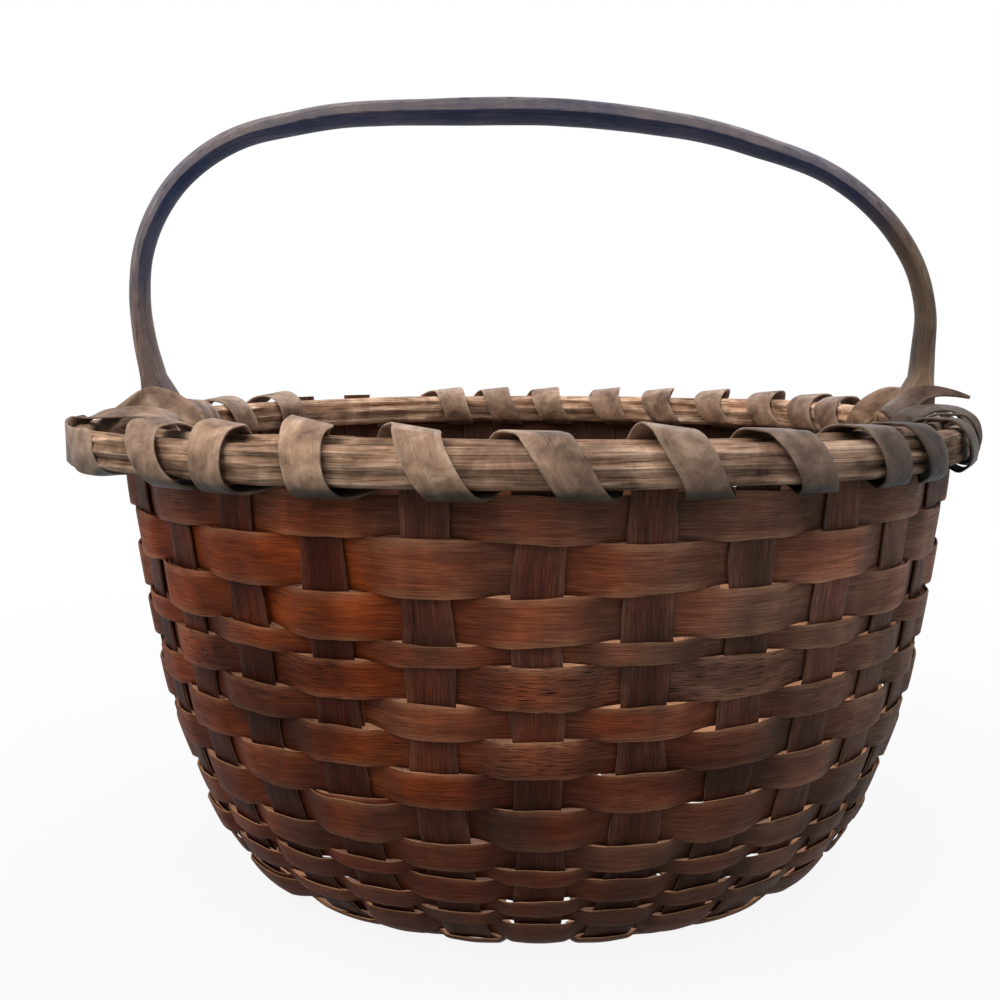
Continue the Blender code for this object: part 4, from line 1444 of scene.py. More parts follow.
@dataclass(frozen=True)
class RimWork:
    """The rim: two hoops, the winding in three strips and the strips at the handle feet.

    The winding is drawn unevenly, as a hand left it. A turn is three angles: where it crosses the
    top, where it leaves the outer face, and where it passes under the hoops, between two uprights.
    The strips at the feet are stations as LashStrip's lead and tail are.
    """

    outer_places: Table = ((0.0, 0), (0.10, 1), (0.25, 2), (0.92, 3), (1.0, 4))
    least_climb: float = 0.45
    more_climb: float = 0.45
    to_late_climb: Fade = Fade(-6, 20)
    under_lead: float = 2.0
    end_tuck: float = 1.6
    front_turns: Table = (
        (-60.0, -56.0, -54.0), (-48.3, -42.5, -42.0), (-36.4, -35.0, -31.0), (-24.1, -22.2, -19.0),
        (-12.2, -8.0, -6.5), (0.2, 4.6, 6.0), (13.2, 16.8, 18.0), (25.6, 29.4, 30.0),
        (38.5, 40.9, 42.0), (46.0, 49.6, 53.5), (60.0, 64.0, 66.0), (72.0, 76.0, 78.0), (82.8, 0.0, 0.0),
    )
    back_right_tops: Row = (108.0, 116.9, 123.6, 133.8, 145.1, 156.2, 166.7, 178.7, 188.6, 197.8, 216.0)
    back_right_unders: Row = (113.0, 121.5, 129.0, 141.0, 152.5, 163.5, 175.5, 185.5, 195.5, 210.0, 222.0)
    back_left_tops: Row = (216.0, 233.5, 247.0, 256.5, 263.4)
    back_left_unders: Row = (231.3, 243.3, 254.9, 261.2, 270.0)
    last_turn_places: Table = (
        (0.0, 0.0), (0.8, 1.0), (1.8, 2.0), (4.6, 2.15), (7.4, 2.32), (10.2, 2.5), (13.0, 2.68),
        (15.4, 2.84), (17.4, 3.0), (18.4, 4.0), (19.2, 5.0), (20.0, 6.0), (20.9, 7.0), (22.6, 7.8),
    )
    foot_places: Table = (
        (5.4, 2.0), (2.6, 2.18), (-0.2, 2.36), (-3.0, 2.54), (-5.8, 2.72), (-8.2, 2.87), (-10.4, 3.0),
        (-11.2, 4.0), (-12.0, 5.0), (-11.6, 6.0), (-11.0, 7.0), (-8.4, 8.0), (-7.6, 9.0), (-7.0, 10.0),
    )
    over_left_end: Table = (
        (-150.7, -26.6, 183.0, 1.3, -7.5, -0.6), (-153.1, -27.0, 189.0, 1.4, -7.7, -1.0),
        (-162.5, -28.7, 192.2, 1.4, -7.8, -1.6), (-175.3, -30.9, 192.5, 1.4, -7.8, -1.6),
        (-185.8, -34.4, 190.9, 1.4, -7.5, -0.2), (-190.6, -40.7, 187.0, 1.8, -5.7, 4.6),
        (-188.2, -55.4, 183.4, 0.4, -1.2, 7.6), (-181.5, -73.3, 182.8, 0.3, -0.6, 7.7),
        (-174.2, -87.0, 182.4, 1.2, -2.0, 7.5), (-168.2, -95.9, 182.1, 3.8, -4.9, 7.3),
        (-165.4, -98.9, 181.0, 4.1, -4.4, 7.0), (-163.3, -101.0, 177.7, 2.7, -3.0, 4.3),
        (-159.6, -104.0, 175.2, 2.0, -2.9, 2.0), (-155.6, -105.6, 174.3, 2.2, -3.5, 1.0),
        (-149.5, -104.0, 174.0, 4.2, -5.2, 0.6),
    )
    across_left_foot: Table = (
        (-186.9, -33.0, 176.0, -2.0, 3.0, 2.4), (-184.9, -31.0, 184.0, -2.2, 3.0, 2.4),
        (-178.9, -26.0, 191.0, -1.7, 3.0, 2.5), (-174.9, -18.0, 195.3, 2.2, 2.5, 5.6),
        (-168.0, -12.5, 197.0, 0.4, 3.0, 5.4), (-159.4, -12.5, 194.4, 1.7, 3.0, 5.0),
        (-151.0, -15.0, 189.6, 3.0, 3.0, 3.7), (-146.5, -18.0, 183.2, 3.9, 2.0, 2.6),
        (-145.5, -19.0, 176.8, 3.9, 1.0, 1.7),
    )
    loose_end: Table = (
        (151.5, -25.0, 188.3, -3.0, 5.5, 3.0), (159.5, -15.0, 194.7, -2.6, 5.0, 2.6),
        (166.5, -11.5, 199.0, -1.1, 3.0, 2.6), (173.1, -12.5, 200.1, 0.3, 2.0, 2.2),
        (180.1, -15.0, 199.3, 0.6, 1.2, 1.3), (187.2, -17.0, 197.4, 0.2, 0.3, 0.3),
    )
    second_end: Table = (
        (150.5, -33.0, 183.0, -2.5, 5.5, 2.0), (155.0, -30.0, 188.8, -2.6, 5.2, 2.4),
        (162.0, -28.0, 192.3, -0.6, 6.0, 1.6), (169.5, -28.5, 193.6, 1.8, 6.4, 1.0),
        (176.5, -31.0, 192.6, 3.6, 6.2, 0.6), (180.5, -35.0, 189.0, 4.6, 5.6, 0.4),
        (181.0, -39.0, 184.0, 4.8, 5.4, 0.4), (179.5, -43.0, 178.5, 4.4, 5.2, 0.4),
        (175.5, -46.0, 174.6, 3.5, 5.0, 0.4), (169.5, -46.0, 173.4, 2.0, 5.5, 0.4),
    )
    across_right_foot: Table = (
        (151.5, 42.0, 177.0, -2.0, 5.5, 0.5), (152.0, 37.5, 183.5, -3.2, 4.0, 2.0),
        (156.0, 33.0, 189.5, -4.2, 3.4, 3.0), (161.5, 29.5, 193.8, -4.0, 3.2, 3.8),
        (168.0, 26.0, 196.6, -2.6, 4.2, 3.8), (174.0, 22.5, 196.6, 0.0, 6.4, 2.6),
        (179.5, 20.5, 192.8, 1.0, 7.4, 0.8), (181.8, 20.0, 186.0, 0.6, 7.5, 0.0),
        (181.8, 20.0, 179.0, 0.6, 7.4, 0.0),
    )

    def turns(self, turns: Table) -> Route:
        """Lead a strip round the hoops turn by turn.

        Args:
            turns: The turns, and last the turn that follows, of which only the top counts.

        Returns:
            The angle, place and slack at each station.
        """
        route = []
        for (top, bottom, under), (following, _, _) in zip(turns[:-1], turns[1:]):
            climb = self.least_climb + self.more_climb * float(self.to_late_climb.at(np.array(following)))
            inner_places = ((0.0, 5), (0.10, 6), (0.28, 7), (climb, 8), (climb + (1 - climb) / 4, 9))
            for start, end, places in ((top, bottom, self.outer_places), (under, following, inner_places)):
                route += [(start + (end - start) * share, float(place), 0.0) for share, place in places]
        return route

    def even_turns(self, tops: Row, unders: Row) -> Route:
        """Lead turns that leave the outer face a little before they pass under the hoops."""
        return self.turns(tuple((top, under - self.under_lead, under) for top, under in zip(tops, unders)))

    def at_foot(self, start: float, places: Table, tuck: float = 0.0) -> Route:
        """Lead a strip by a handle foot, slack on the outer face, where it lies on another strip.

        Args:
            start: The angle that the places are counted from.
            places: How far ahead each station is, and its place.
            tuck: How far the strip is drawn in behind the inner face, in slacks.

        Returns:
            The angle, place and slack at each station.
        """
        return [
            (start + ahead, place, RIM.lash_slack * ((2 <= place <= 3) - tuck * (place >= 6)))
            for ahead, place in places
        ]

    def strips(self) -> list[LashStrip]:
        """List the lashing strips; those at the feet show as wraps and as cross pieces.

        Returns:
            The strips, each with the node that it stands for.
        """
        # The front's first turn starts underneath. The turn that is lost at the back leaves one end
        # inside the hoops and the other in the middle of the next turn.
        front_end, back_end = (
            self.at_foot(top, self.last_turn_places, self.end_tuck)
            for top in (self.front_turns[-1][0], self.back_left_tops[-1])
        )
        front = self.turns(self.front_turns)[5:] + front_end
        back_right = self.even_turns(self.back_right_tops, self.back_right_unders)[:-3]
        back_left = self.even_turns(self.back_left_tops, self.back_left_unders)[7:] + back_end
        right_foot, left_foot = (self.at_foot(foot, self.foot_places) for foot in (90.0, 270.0))
        right, left = "foot_lash_right", "foot_lash_left"
        return [
            LashStrip("lashing_front_splint", "lashing_front", front, 0, 61, lead=self.over_left_end),
            LashStrip("lashing_back_right_splint", "lashing_back_right", back_right, 0, 62),
            LashStrip("lashing_back_left_splint", "lashing_back_left", back_left, 0, 65),
            LashStrip(f"{right}_splint", right, right_foot[:-2], 1, 63, tail=self.loose_end),
            LashStrip(f"{right}_second", right, [], 1, 67, tail=self.second_end),
            LashStrip(f"{right}_crossing", right, [], 1, 68, tail=self.across_right_foot),
            LashStrip(f"{left}_splint", left, left_foot, 1, 64),
            LashStrip(f"{left}_crossing", left, [], 1, 66, tail=self.across_left_foot),
        ]

    def build(self, finishes: dict[Slot, Material]) -> None:
        """Make the hoops and the lashing.

        Args:
            finishes: The material of each slot.
        """
        hoops = (
            Hoop("outer_hoop", 1, RIM.outer_thickness, RIM.outer_scarf, 31),
            Hoop("inner_hoop", -1, RIM.inner_thickness, RIM.inner_scarf, 41),
        )
        for hoop in hoops:
            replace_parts(hoop.skin().build(Slot.HOOP, finishes[Slot.HOOP]), hoop.name)
        for strip in self.strips():
            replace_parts(strip.skin().build(Slot.LASHING, finishes[Slot.LASHING]), strip.node)


# Handle


@dataclass(frozen=True)
class Handle:
    """The bent stave: a tail and a notched foot at each end, and an arch between them.

    Each station has an outline of its own: half of it is the outer face, level in the middle and
    rounded to its sides, and half is the inner face, crowned between thinner edges.
    """

    rise: float = 0.1340
    foot_reach: float = 2.0 * MM
    notch: float = 6.5 * MM
    shoulder: float = 5.5 * MM
    shoulder_height: float = 8.0 * MM
    leg_start: float = 14.4 * MM
    foot_thickness: float = 9.2 * MM
    leg_thickness: float = 7.4 * MM
    top_thickness: float = 9.0 * MM
    edge: float = 5.2 * MM
    leg_width: float = 17.0 * MM
    top_width: float = 28.5 * MM
    leg_rounding: float = 3.0 * MM
    top_rounding: float = 0.6 * MM
    tail_depth: float = 65.6 * MM
    tail_thickness: float = 4.4 * MM
    tail_tip: float = 2.0 * MM
    tail_width: float = 0.65
    tail_flat: float = 0.3
    tail_margin: float = 0.6 * MM
    tail_stations: int = 12
    tail_swelling: Pair = (1.6, 1.8)
    swelling: Fade = Fade(0.14, 0.36)
    foot_length: float = 0.10
    flat: Pair = (0.28, 0.45)
    stations_along: int = 260
    face_columns: int = 25
    outer_hewing: Ripple = Ripple(71, 0.15, 0.10 * MM)
    inner_hewing: Ripple = Ripple(73, 0.12, 0.12 * MM)
    width_waves: Ripple = Ripple(74, 0.18, 0.008)
    sway: Ripple = Ripple(72, 0.20, 0.2 * MM)
    corner: float = 0.5 * MM
    corner_power: int = 16
    side_curve: float = 0.03
    side_power: int = 30
    outer_power: float = 1.7
    inner_power: float = 1.2
    inner_span: float = 0.98
    to_right: Fade = Fade(0.032, 0.16)
    to_top: Fade = Fade(0.225, 0.06)
    right_top_rise: float = 0.025
    to_leg: Fade = Fade(0.196, 0.022)
    inner_face: float = 0.475
    leg_shade: float = 0.08
    right_foot_shade: float = 0.65
    right_leg_shade: float = -0.60
    # Painted shade on the underside, more under the top.
    under_painted_shade: Pair = (0.10, 0.36)
    top_darkening: float = 0.06
    leg_warmth: float = 0.85
    top_warmth: float = 0.55
    top_wear: float = 0.6
    dry: Pair = (0.55, 0.10)
    arch: tuple[Pair, ...] = (
        (-1.000, 0.000), (-1.003, 0.095), (-1.019, 0.242), (-1.025, 0.387), (-1.011, 0.531),
        (-0.966, 0.674), (-0.878, 0.815), (-0.782, 0.896), (-0.582, 0.968), (-0.213, 1.000),
        (0.151, 0.987), (0.520, 0.905), (0.784, 0.762), (0.900, 0.626), (0.969, 0.483),
        (0.999, 0.339), (1.000, 0.193), (1.000, 0.000),
    )

    def tail(self, side: int) -> list[Row]:
        """Shape one tail, tucked inside the wall, and the notched foot above it.

        Args:
            side: 1 at +X, -1 at -X.

        Returns:
            The x, z, crown, edge, width, rounding and flat of each station, upwards.
        """
        inset = WEAVE.weaver_offset + WEAVE.weaver_thickness / 2 + self.tail_margin
        rim, notch = WALL.rim_radius + self.foot_reach, WALL.rim_radius - self.notch
        tip = WALL.hoop_bottom - self.tail_depth
        rows = []
        thicker, wider = self.tail_swelling
        for share in np.linspace(0, 1, self.tail_stations):
            height = tip + (self.tail_depth - 2.0 * MM) * share
            outer = float(wall_at(length_at_height(height))[0]) - inset
            thick = self.tail_tip + (self.tail_thickness - self.tail_tip) * float(ease(share * thicker))
            width = self.leg_width * (self.tail_width + (1 - self.tail_width) * float(ease(share * wider)))
            rows.append((side * outer, height, thick, thick, width, 0.0, self.tail_flat))
        low = float(wall_at(length_at_height(WALL.hoop_bottom))[0]) - inset
        for height, outer, inner in (
            (WALL.hoop_bottom - 0.6 * MM, low, notch - 2.0 * MM),
            (WALL.hoop_bottom - 0.3 * MM, low + 0.3 * MM, notch),
            (WALL.rim_height + 0.3 * MM, rim, notch),
            (WALL.rim_height + 1.2 * MM, rim, notch - self.shoulder),
            (WALL.rim_height + self.shoulder_height, rim, notch - self.shoulder + 1.2 * MM),
        ):
            thick = outer - inner
            rows.append((side * outer, height, thick, thick, self.leg_width, 0.0, self.tail_flat))
        return rows

    def stations(self) -> tuple[Array, Array]:
        """Bend the stave from tail to tail, swelling towards the grip.

        Returns:
            The stations as tail gives them, and the inward direction at each.
        """
        span = WALL.rim_radius + self.foot_reach
        points = np.array([(x * span, WALL.rim_height + z * self.rise) for x, z in self.arch])
        lengths = run_lengths(points)
        wanted = np.linspace(0, lengths[-1], self.stations_along)
        line = hermite(points, lengths, wanted)
        keep = line[:, 1] > WALL.rim_height + self.leg_start
        share = np.minimum(wanted, lengths[-1] - wanted) / lengths[-1]
        swell, foot = self.swelling.at(share), 1 - ease(share / self.foot_length)
        crown, width, rounding, flat = (
            leg + (top - leg) * swell for leg, top in (
                (self.leg_thickness, self.top_thickness), (self.leg_width, self.top_width),
                (self.leg_rounding, self.top_rounding), self.flat,
            )
        )
        crown = crown + (self.foot_thickness - self.leg_thickness) * foot
        edge = self.edge + (crown - self.edge) * foot
        along = unit(np.gradient(line, axis=0))
        inward = np.stack([along[:, 1], -along[:, 0]], axis=1)[keep]
        arch = np.column_stack([line, crown, edge, width, rounding, flat])[keep]
        left, right = np.array(self.tail(-1)), np.array(self.tail(1))[::-1]
        sides = [np.tile([1.0, 0.0], (len(left), 1)), inward, np.tile([-1.0, 0.0], (len(right), 1))]
        return np.vstack([left, arch, right]), np.vstack(sides)

    def outline(self, rows: Array) -> tuple[Array, Array, Array]:
        """Draw the outline at each station.

        Across the outer face from -0.5 to 0.5 the depth is the rounding times the share beyond
        the level part to a power; across the inner face it falls from the crown to the edge as a
        cosine to a power. Both faces' last columns are drawn in to round the corners.

        Args:
            rows: The stations as tail gives them.

        Returns:
            The shares across, the depths, and the face, -1 outside and 1 inside, of each point.
        """
        crown, edge, rounding, flat = rows[:, 2:3], rows[:, 3:4], rows[:, 5:6], rows[:, 6:7]
        spread = np.sin(np.linspace(-math.pi / 2, math.pi / 2, self.face_columns))[None, :] / 2
        share = spread * (1 - self.side_curve * np.abs(2 * spread) ** self.side_power)
        beyond = np.clip((np.abs(spread) - flat) / (0.5 - flat), 0, 1)
        corner = self.corner * np.abs(2 * spread) ** self.corner_power
        outer = rounding * beyond**self.outer_power + corner
        fall = np.cos(spread * math.pi * self.inner_span) ** self.inner_power
        inner = edge + (crown - edge) * fall - corner
        wide = np.broadcast_to(share, inner.shape)
        shares = np.concatenate([wide, wide[:, ::-1]], axis=1)
        faces = np.concatenate([np.full(self.face_columns, -1.0), np.full(self.face_columns, 1.0)])[None, :]
        return shares, np.concatenate([outer, inner[:, ::-1]], axis=1), faces

    def skin(self) -> Skin:
        """Hew the stave a little uneven along its length and dress it.

        Returns:
            The stave's skin: grey and worn on top, brown in the legs, blue-grey with painted shade
            underneath.
        """
        rows, inward = self.stations()
        x, z, width = rows[:, 0], rows[:, 1], rows[:, 4]
        across, depth, face = self.outline(rows)
        inside = face > 0
        along = run_lengths(np.column_stack([x, z]))
        outer_hewing, inner_hewing, wider, sway = (
            waves.at(along)[:, None]
            for waves in (self.outer_hewing, self.inner_hewing, self.width_waves, self.sway)
        )
        depth = depth + np.where(inside, inner_hewing, outer_hewing)
        half = width[:, None] * across * (1 + wider)
        rings = np.stack([
            x[:, None] + inward[:, :1] * depth, half + sway, z[:, None] + inward[:, 1:] * depth,
        ], axis=-1)
        girth = half * face + GRAIN.other_face * inside
        grain = np.stack(np.broadcast_arrays(along[:, None], girth), axis=-1)
        right = self.to_right.at(rings[..., 0])
        top = self.to_top.at(rings[..., 2] - self.right_top_rise * right)
        under = inside * (np.abs(across) < self.inner_face)
        up_leg = (self.right_leg_shade - self.right_foot_shade) * self.to_leg.at(rings[..., 2])
        leg = 1 + (self.leg_shade + right * (self.right_foot_shade + up_leg)) * (1 - top)
        # Painted shade on the underside.
        in_leg, at_top = self.under_painted_shade
        worn = top * (1 - under)
        warmth = (self.leg_warmth + (1 - self.leg_warmth) * right) * (1 - top)
        traits = {
            "warmth": warmth + self.top_warmth * worn,
            "shade": leg * (1 - under * (in_leg + at_top * top)) * (1 - self.top_darkening * worn),
            "wear": self.top_wear * worn,
            "dry": np.where(under, self.dry[1], self.dry[0]),
        }
        return Skin("handle_wood", rings, grain, traits, sharp=60, warp=False)

    def build(self, finishes: dict[Slot, Material]) -> None:
        """Make the handle from the material of its slot."""
        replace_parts(self.skin().build(Slot.HANDLE, finishes[Slot.HANDLE]), "handle")


# Finishes


def linear(code: str) -> tuple[float, float, float, float]:
    """Turn an sRGB hex colour to linear with full alpha."""
    values = [int(code[start:start + 2], 16) / 255 for start in (1, 3, 5)]
    return (*[v / 12.92 if v <= 0.04045 else ((v + 0.055) / 1.055) ** 2.4 for v in values], 1.0)


def add_node(
    tree: Tree, kind: str, inputs: dict[str | int, object] | None = None, **settings: object,
) -> bpy.types.Node:
    """Add a shader node with its settings and links.

    Args:
        tree: The node tree.
        kind: The node's type name.
        inputs: For each input a value, a socket to link from, or a node whose first output is meant.
        **settings: Properties of the node itself.

    Returns:
        The new node.
    """
    node = tree.nodes.new(kind)
    for name, value in settings.items():
        setattr(node, name, value)
    for name, value in (inputs or {}).items():
        source = value.outputs[0] if isinstance(value, bpy.types.Node) else value
        if isinstance(source, Socket):
            tree.links.new(source, node.inputs[name])
        else:
            node.inputs[name].default_value = source
    return node


@dataclass(frozen=True)
class Marks:
    """Marks drawn out along the grain: their length and spacing in millimetres, detail and warp."""

    length: float
    pitch: float
    detail: float = 3.0
    warp: float = 0.0


@dataclass(frozen=True)
class WoodFinish:
    """Old wood: fibres and open pores run along the piece, and handling has stained it.

    Colours run from the dark of the pores to the worn light of the ridges, once for the grey-brown
    wood and once for the red-brown. Real fibres are a few hundredths of a millimetre wide: they are
    drawn ten times as coarse, so that they show.
    """

    name: str
    cool: Codes
    warm: Codes
    worn: str
    fibre: Marks = Marks(14.0, 0.34, 3.0, 0.15)
    band: Marks = Marks(70.0, 3.2, 3.0, 0.6)
    pore: Marks = Marks(7.0, 0.28, 1.0)
    fibre_share: float = 0.38
    band_share: float = 0.16
    mark_roughness: float = 0.6
    stain_size: float = 30.0
    stain_detail: float = 5.0
    stain_roughness: float = 0.62
    stain_warp: float = 0.4
    stain_warmth: float = 0.9
    streak_contrast: float = 1.0
    streak_spread: float = 0.22
    pore_edges: Pair = (0.30, 0.44)
    wear_strength: float = 0.6
    roughness: Pair = (0.48, 0.72)
    bump: float = 0.20
    bump_strength: float = 0.8
    specular: float = 0.07
    refraction: float = 1.5

    def patterns(self, tree: Tree) -> list[Source]:
        """Add the wood's patterns: three lie along the grain map, and the stains lie anywhere.

        Args:
            tree: The material's node tree.

        Returns:
            The values of the fibres, the growth bands, the pores and the stains.
        """
        grain = add_node(tree, "ShaderNodeUVMap", uv_map="Grain")
        place = add_node(tree, "ShaderNodeTexCoord").outputs["Object"]
        found = []
        for marks in (self.fibre, self.band, self.pore):
            scale = (1 / MM / marks.length, 1 / MM / marks.pitch, 1.0)
            mapped = add_node(tree, "ShaderNodeMapping", {"Vector": grain, "Scale": scale})
            found.append(add_node(tree, "ShaderNodeTexNoise", {
                "Vector": mapped, "Scale": 1.0, "Detail": marks.detail,
                "Roughness": self.mark_roughness, "Distortion": marks.warp,
            }, noise_dimensions="2D"))
        found.append(add_node(tree, "ShaderNodeTexNoise", {
            "Vector": place, "Scale": 1 / MM / self.stain_size, "Detail": self.stain_detail,
            "Roughness": self.stain_roughness, "Distortion": self.stain_warp,
        }))
        return found

    def streak(self, tree: Tree, fibre: Source, band: Source, stain: Source) -> Source:
        """Weigh fibres, growth bands and stains into one value, spread about its middle.

        Args:
            tree: The material's node tree.
            fibre: The fibres' value.
            band: The growth bands' value.
            stain: The stains' value.

        Returns:
            The streaks' value, from 0, dark, to 1, light.
        """
        rest = 1 - self.fibre_share - self.band_share
        total = add_node(tree, "ShaderNodeMath", {0: stain, 1: rest}, operation="MULTIPLY")
        for part, share in ((fibre, self.fibre_share), (band, self.band_share)):
            weighed = {0: part, 1: share, 2: total}
            total = add_node(tree, "ShaderNodeMath", weighed, operation="MULTIPLY_ADD")
        spread = self.streak_spread / self.streak_contrast
        return add_node(tree, "ShaderNodeMapRange", {
            "Value": total, "From Min": 0.5 - spread, "From Max": 0.5 + spread,
        })

    def colour(self, tree: Tree, streak: Source, pore: Source, stain: Source) -> Source:
        """Mix the two woods by warmth, lighten the wear, sink the pores and shade the whole.

        Args:
            tree: The material's node tree.
            streak: The streaks' value.
            pore: The pores' value.
            stain: The stains' value.

        Returns:
            The colour.
        """
        warmth, shade, wear, dry = (
            add_node(tree, "ShaderNodeAttribute", attribute_name=name).outputs["Fac"]
            for name in ("warmth", "shade", "wear", "dry")
        )
        moved = add_node(tree, "ShaderNodeMath", {
            0: stain, 1: self.stain_warmth, 2: -self.stain_warmth / 2,
        }, operation="MULTIPLY_ADD")
        blend = add_node(tree, "ShaderNodeMath", {0: warmth, 1: moved}, operation="ADD", use_clamp=True)
        woods = []
        for dark, middle, light in (self.cool, self.warm):
            ramp = add_node(tree, "ShaderNodeValToRGB", {0: streak})
            stops = ramp.color_ramp.elements
            stops[0].color, stops[1].color = linear(dark), linear(light)
            stops.new(0.5).color = linear(middle)
            woods.append(ramp)
        base = add_node(tree, "ShaderNodeMix", {
            0: blend, 6: woods[0], 7: woods[1],
        }, data_type="RGBA").outputs[2]
        depth = add_node(tree, "ShaderNodeMath", {0: 1.0, 1: dry}, operation="SUBTRACT", use_clamp=True)
        sunk = add_node(tree, "ShaderNodeMapRange", {
            "Value": pore, "From Min": self.pore_edges[0], "From Max": self.pore_edges[1],
            "To Min": depth, "To Max": 1.0,
        })
        worn = add_node(tree, "ShaderNodeMath", {0: wear, 1: streak}, operation="MULTIPLY")
        worn = add_node(tree, "ShaderNodeMath", {0: worn, 1: self.wear_strength}, operation="MULTIPLY")
        lit = add_node(tree, "ShaderNodeMix", {
            0: worn, 6: base, 7: linear(self.worn),
        }, data_type="RGBA").outputs[2]
        shaded = add_node(tree, "ShaderNodeMath", {0: sunk, 1: shade}, operation="MULTIPLY")
        return add_node(tree, "ShaderNodeVectorMath", {0: lit, "Scale": shaded}, operation="SCALE")

    def build(self) -> Material:
        """Make the material.

        Returns:
            The material, which reads the grain map and the traits of the piece that wears it.
        """
        material = bpy.data.materials.new(self.name)
        material.use_nodes = True
        tree = material.node_tree
        tree.nodes.clear()
        fibre, band, pore, stain = self.patterns(tree)
        streak = self.streak(tree, fibre, band, stain)
        colour = self.colour(tree, streak, pore, stain)
        rough = add_node(tree, "ShaderNodeMapRange", {
            "Value": streak, "From Min": 0.0, "From Max": 1.0,
            "To Min": self.roughness[1], "To Max": self.roughness[0],
        })
        relief = add_node(tree, "ShaderNodeMath", {0: fibre, 1: pore}, operation="ADD")
        relief = add_node(tree, "ShaderNodeMath", {0: relief, 1: band}, operation="ADD")
        bump = add_node(tree, "ShaderNodeBump", {
            "Strength": self.bump_strength, "Distance": self.bump * MM, "Height": relief,
        })
        shader = add_node(tree, "ShaderNodeBsdfPrincipled", {
            "Base Color": colour, "Roughness": rough, "Normal": bump,
            "IOR": self.refraction, "Specular IOR Level": self.specular,
        })
        add_node(tree, "ShaderNodeOutputMaterial", {"Surface": shader})
        return material


FINISHES = {
    # Riven uprights keep their open pores, so they look dark, dull and finely lined.
    Slot.STAKE: WoodFinish(
        "riven ash, dark and dry",
        ("#1e130f", "#432d24", "#6b4c3f"), ("#200702", "#4b1c0a", "#7b3717"), "#7d6353",
        streak_contrast=1.25,
    ),
    # Split weavers are smoother, and handling has turned them red-brown with pale rubbed edges.
    Slot.WEAVER: WoodFinish(
        "riven ash splint, handled",
        ("#2a1b14", "#5a3f32", "#846757"), ("#2c0d03", "#692c10", "#9e4e20"), "#a98467",
        streak_contrast=1.05,
    ),
    # Split oak shows long rays and ridges without a shine; the hoops' ridges get wear and painted highlight,
    # their clefts painted shade.
    Slot.HOOP: WoodFinish(
        "riven oak, dry and split",
        ("#3c2a21", "#8a6e5d", "#c9ad98"), ("#483422", "#9b7b63", "#dabb9f"), "#e3cdb5",
        fibre=Marks(16.0, 0.42, 3.0, 0.15), band=Marks(70.0, 4.5, 3.0, 0.6), pore=Marks(22.0, 0.9, 1.0),
        fibre_share=0.17, band_share=0.22, stain_size=16.0, streak_contrast=1.2,
        bump=0.6, roughness=(0.66, 0.86),
    ),
    # Shaved thin, the lashing is smooth and cloudy rather than lined, with a faint sheen.
    Slot.LASHING: WoodFinish(
        "ash lashing splint, dry with age",
        ("#42332b", "#836b5d", "#ad9382"), ("#4e392b", "#9d7e66", "#cdb097"), "#d6c0aa",
        fibre_share=0.14, band_share=0.10, stain_size=11.0, streak_contrast=1.2,
        bump=0.10, specular=0.2, roughness=(0.46, 0.64),
    ),
    # Hands have polished the grip grey, and its underside is blue-grey, darkened with painted shade.
    Slot.HANDLE: WoodFinish(
        "bent hickory, hand worn",
        ("#0f1e42", "#43588a", "#7d89a8"), ("#3a2b20", "#7a6452", "#a8917b"), "#b4b2ae",
        fibre=Marks(18.0, 0.30, 3.0, 0.15), fibre_share=0.46, streak_contrast=1.1,
        bump=0.14, specular=0.15, roughness=(0.42, 0.62),
    ),
}


# Studio


@dataclass(frozen=True)
class Lamp:
    """A square soft lamp: its name, place in metres, size, power in watts and colour."""

    name: str
    place: Place
    size: float
    power: float
    colour: str


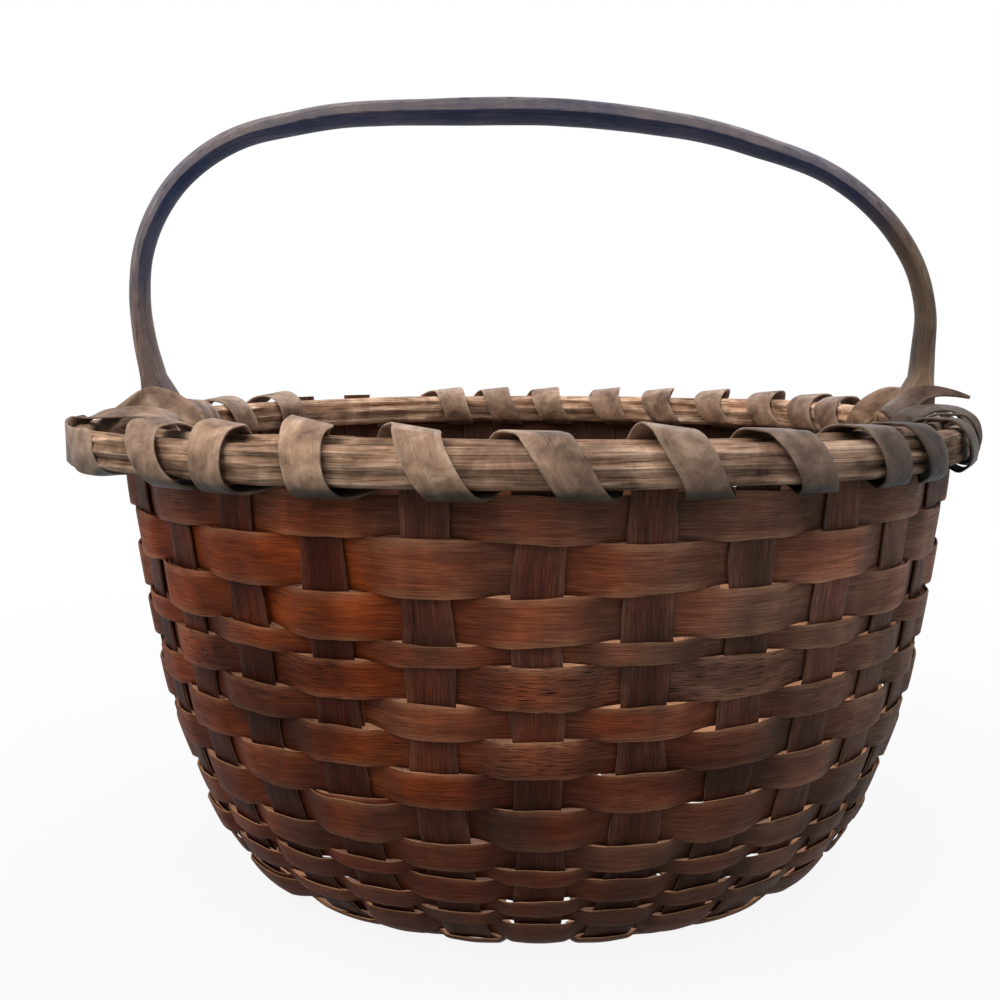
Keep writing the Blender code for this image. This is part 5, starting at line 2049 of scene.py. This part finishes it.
@dataclass(frozen=True)
class Studio:
    """A pale floor, plain soft light and a camera at the viewing angle."""

    camera_place: Place = (0.0035, -0.532, 0.2145)
    pitch_down: float = 6.8
    lens: float = 42.84
    shift: float = -0.038
    clip: Pair = (0.01, 50.0)
    floor_size: float = 8.0
    floor_paint: str = "#c4c4c4"
    shadow_reach: Pair = (0.18, 0.75)
    shadow_white: float = 0.90
    world_strength: Pair = (0.22, 0.85)
    lowest_light: float = -0.1
    aim: Place = (0.0, 0.0, 0.12)
    lamps: tuple[Lamp, ...] = (
        Lamp("key", (-0.65, -0.95, 1.35), 0.9, 17.0, "#fff6ec"),
        Lamp("fill", (1.2, -0.9, 0.5), 1.2, 3.0, "#f2f5ff"),
        Lamp("back", (0.3, 1.0, 1.3), 0.9, 10.0, "#eef3ff"),
    )

    def camera(self) -> None:
        """Set the camera."""
        data = bpy.data.cameras.new("camera")
        data.sensor_fit = "HORIZONTAL"
        data.lens = self.lens
        data.shift_x = self.shift
        data.clip_start, data.clip_end = self.clip
        item = bpy.data.objects.new("camera", data)
        item.location = self.camera_place
        item.rotation_euler = (math.radians(90 - self.pitch_down), 0.0, 0.0)
        bpy.context.scene.collection.objects.link(item)
        bpy.context.scene.camera = item

    def light(self) -> None:
        """Set the lamps, each facing the basket."""
        for lamp in self.lamps:
            data = bpy.data.lights.new(lamp.name, "AREA")
            data.size, data.energy = lamp.size, lamp.power
            data.color = linear(lamp.colour)[:3]
            item = bpy.data.objects.new(lamp.name, data)
            item.location = lamp.place
            facing = Vector(self.aim) - Vector(lamp.place)
            item.rotation_euler = facing.to_track_quat("-Z", "Y").to_euler()
            bpy.context.scene.collection.objects.link(item)

    def white_background(self, tree: Tree) -> Source:
        """Tell the rays that see the background itself, or mirror it, from those that light.

        Args:
            tree: The node tree of the world or of the floor.

        Returns:
            1 for such a ray, else 0.
        """
        path = add_node(tree, "ShaderNodeLightPath").outputs
        seen = path["Is Camera Ray"]
        for kind in ("Is Glossy Ray", "Is Transmission Ray"):
            seen = add_node(tree, "ShaderNodeMath", {0: seen, 1: path[kind]}, operation="MAXIMUM")
        return seen

    def world(self) -> None:
        """Light the scene softly from above, with white where the camera looks past the floor."""
        world = bpy.data.worlds.new("studio")
        bpy.context.scene.world = world
        world.use_nodes = True
        tree = world.node_tree
        tree.nodes.clear()
        ray = add_node(tree, "ShaderNodeTexCoord").outputs["Generated"]
        height = add_node(tree, "ShaderNodeSeparateXYZ", {0: ray}).outputs["Z"]
        soft = add_node(tree, "ShaderNodeMapRange", {
            "Value": height, "From Min": self.lowest_light, "From Max": 1.0,
            "To Min": self.world_strength[0], "To Max": self.world_strength[1],
        })
        strength = add_node(tree, "ShaderNodeMapRange", {
            "Value": self.white_background(tree), "To Min": soft, "To Max": 1.0,
        })
        sky = add_node(tree, "ShaderNodeBackground", {
            "Color": (1.0, 1.0, 1.0, 1.0), "Strength": strength,
        })
        add_node(tree, "ShaderNodeOutputWorld", {"Surface": sky})

    def floor(self) -> None:
        """Lay a pale floor that stays white to the camera but keeps a soft shadow."""
        half = self.floor_size / 2
        corners = [(-half, -half, 0), (half, -half, 0), (half, half, 0), (-half, half, 0)]
        mesh = bpy.data.meshes.new("floor")
        mesh.from_pydata(corners, [], [(0, 1, 2, 3)])
        material = bpy.data.materials.new("painted studio floor")
        material.use_nodes = True
        tree = material.node_tree
        tree.nodes.clear()
        paint = add_node(tree, "ShaderNodeBsdfDiffuse", {"Color": linear(self.floor_paint)})
        glow = add_node(tree, "ShaderNodeEmission", {
            "Color": (1.0, 1.0, 1.0, 1.0), "Strength": 1.0,
        })
        place = add_node(tree, "ShaderNodeTexCoord").outputs["Object"]
        away = add_node(tree, "ShaderNodeVectorMath", {0: place}, operation="LENGTH").outputs["Value"]
        white = add_node(tree, "ShaderNodeMapRange", {
            "Value": away, "From Min": self.shadow_reach[0], "From Max": self.shadow_reach[1],
            "To Min": self.shadow_white, "To Max": 1.0,
        })
        share = add_node(tree, "ShaderNodeMath", {
            0: self.white_background(tree), 1: white,
        }, operation="MULTIPLY")
        mixed = add_node(tree, "ShaderNodeMixShader", {0: share, 1: paint, 2: glow})
        add_node(tree, "ShaderNodeOutputMaterial", {"Surface": mixed})
        mesh.materials.append(material)
        item = bpy.data.objects.new("floor", mesh)
        bpy.context.scene.collection.objects.link(item)

    def build(self) -> None:
        """Set the whole studio."""
        self.camera()
        self.world()
        self.floor()
        self.light()
        bpy.context.scene.view_settings.view_transform = "Standard"


def main() -> None:
    """Build the studio and dress the basket, piece by piece."""
    logging.basicConfig(level=logging.INFO, format="%(name)s: %(message)s")
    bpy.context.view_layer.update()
    Studio().build()
    finishes = {slot: finish.build() for slot, finish in FINISHES.items()}
    Body().build(finishes)
    RimWork().build(finishes)
    Handle().build(finishes)


if __name__ == "__main__":
    main()
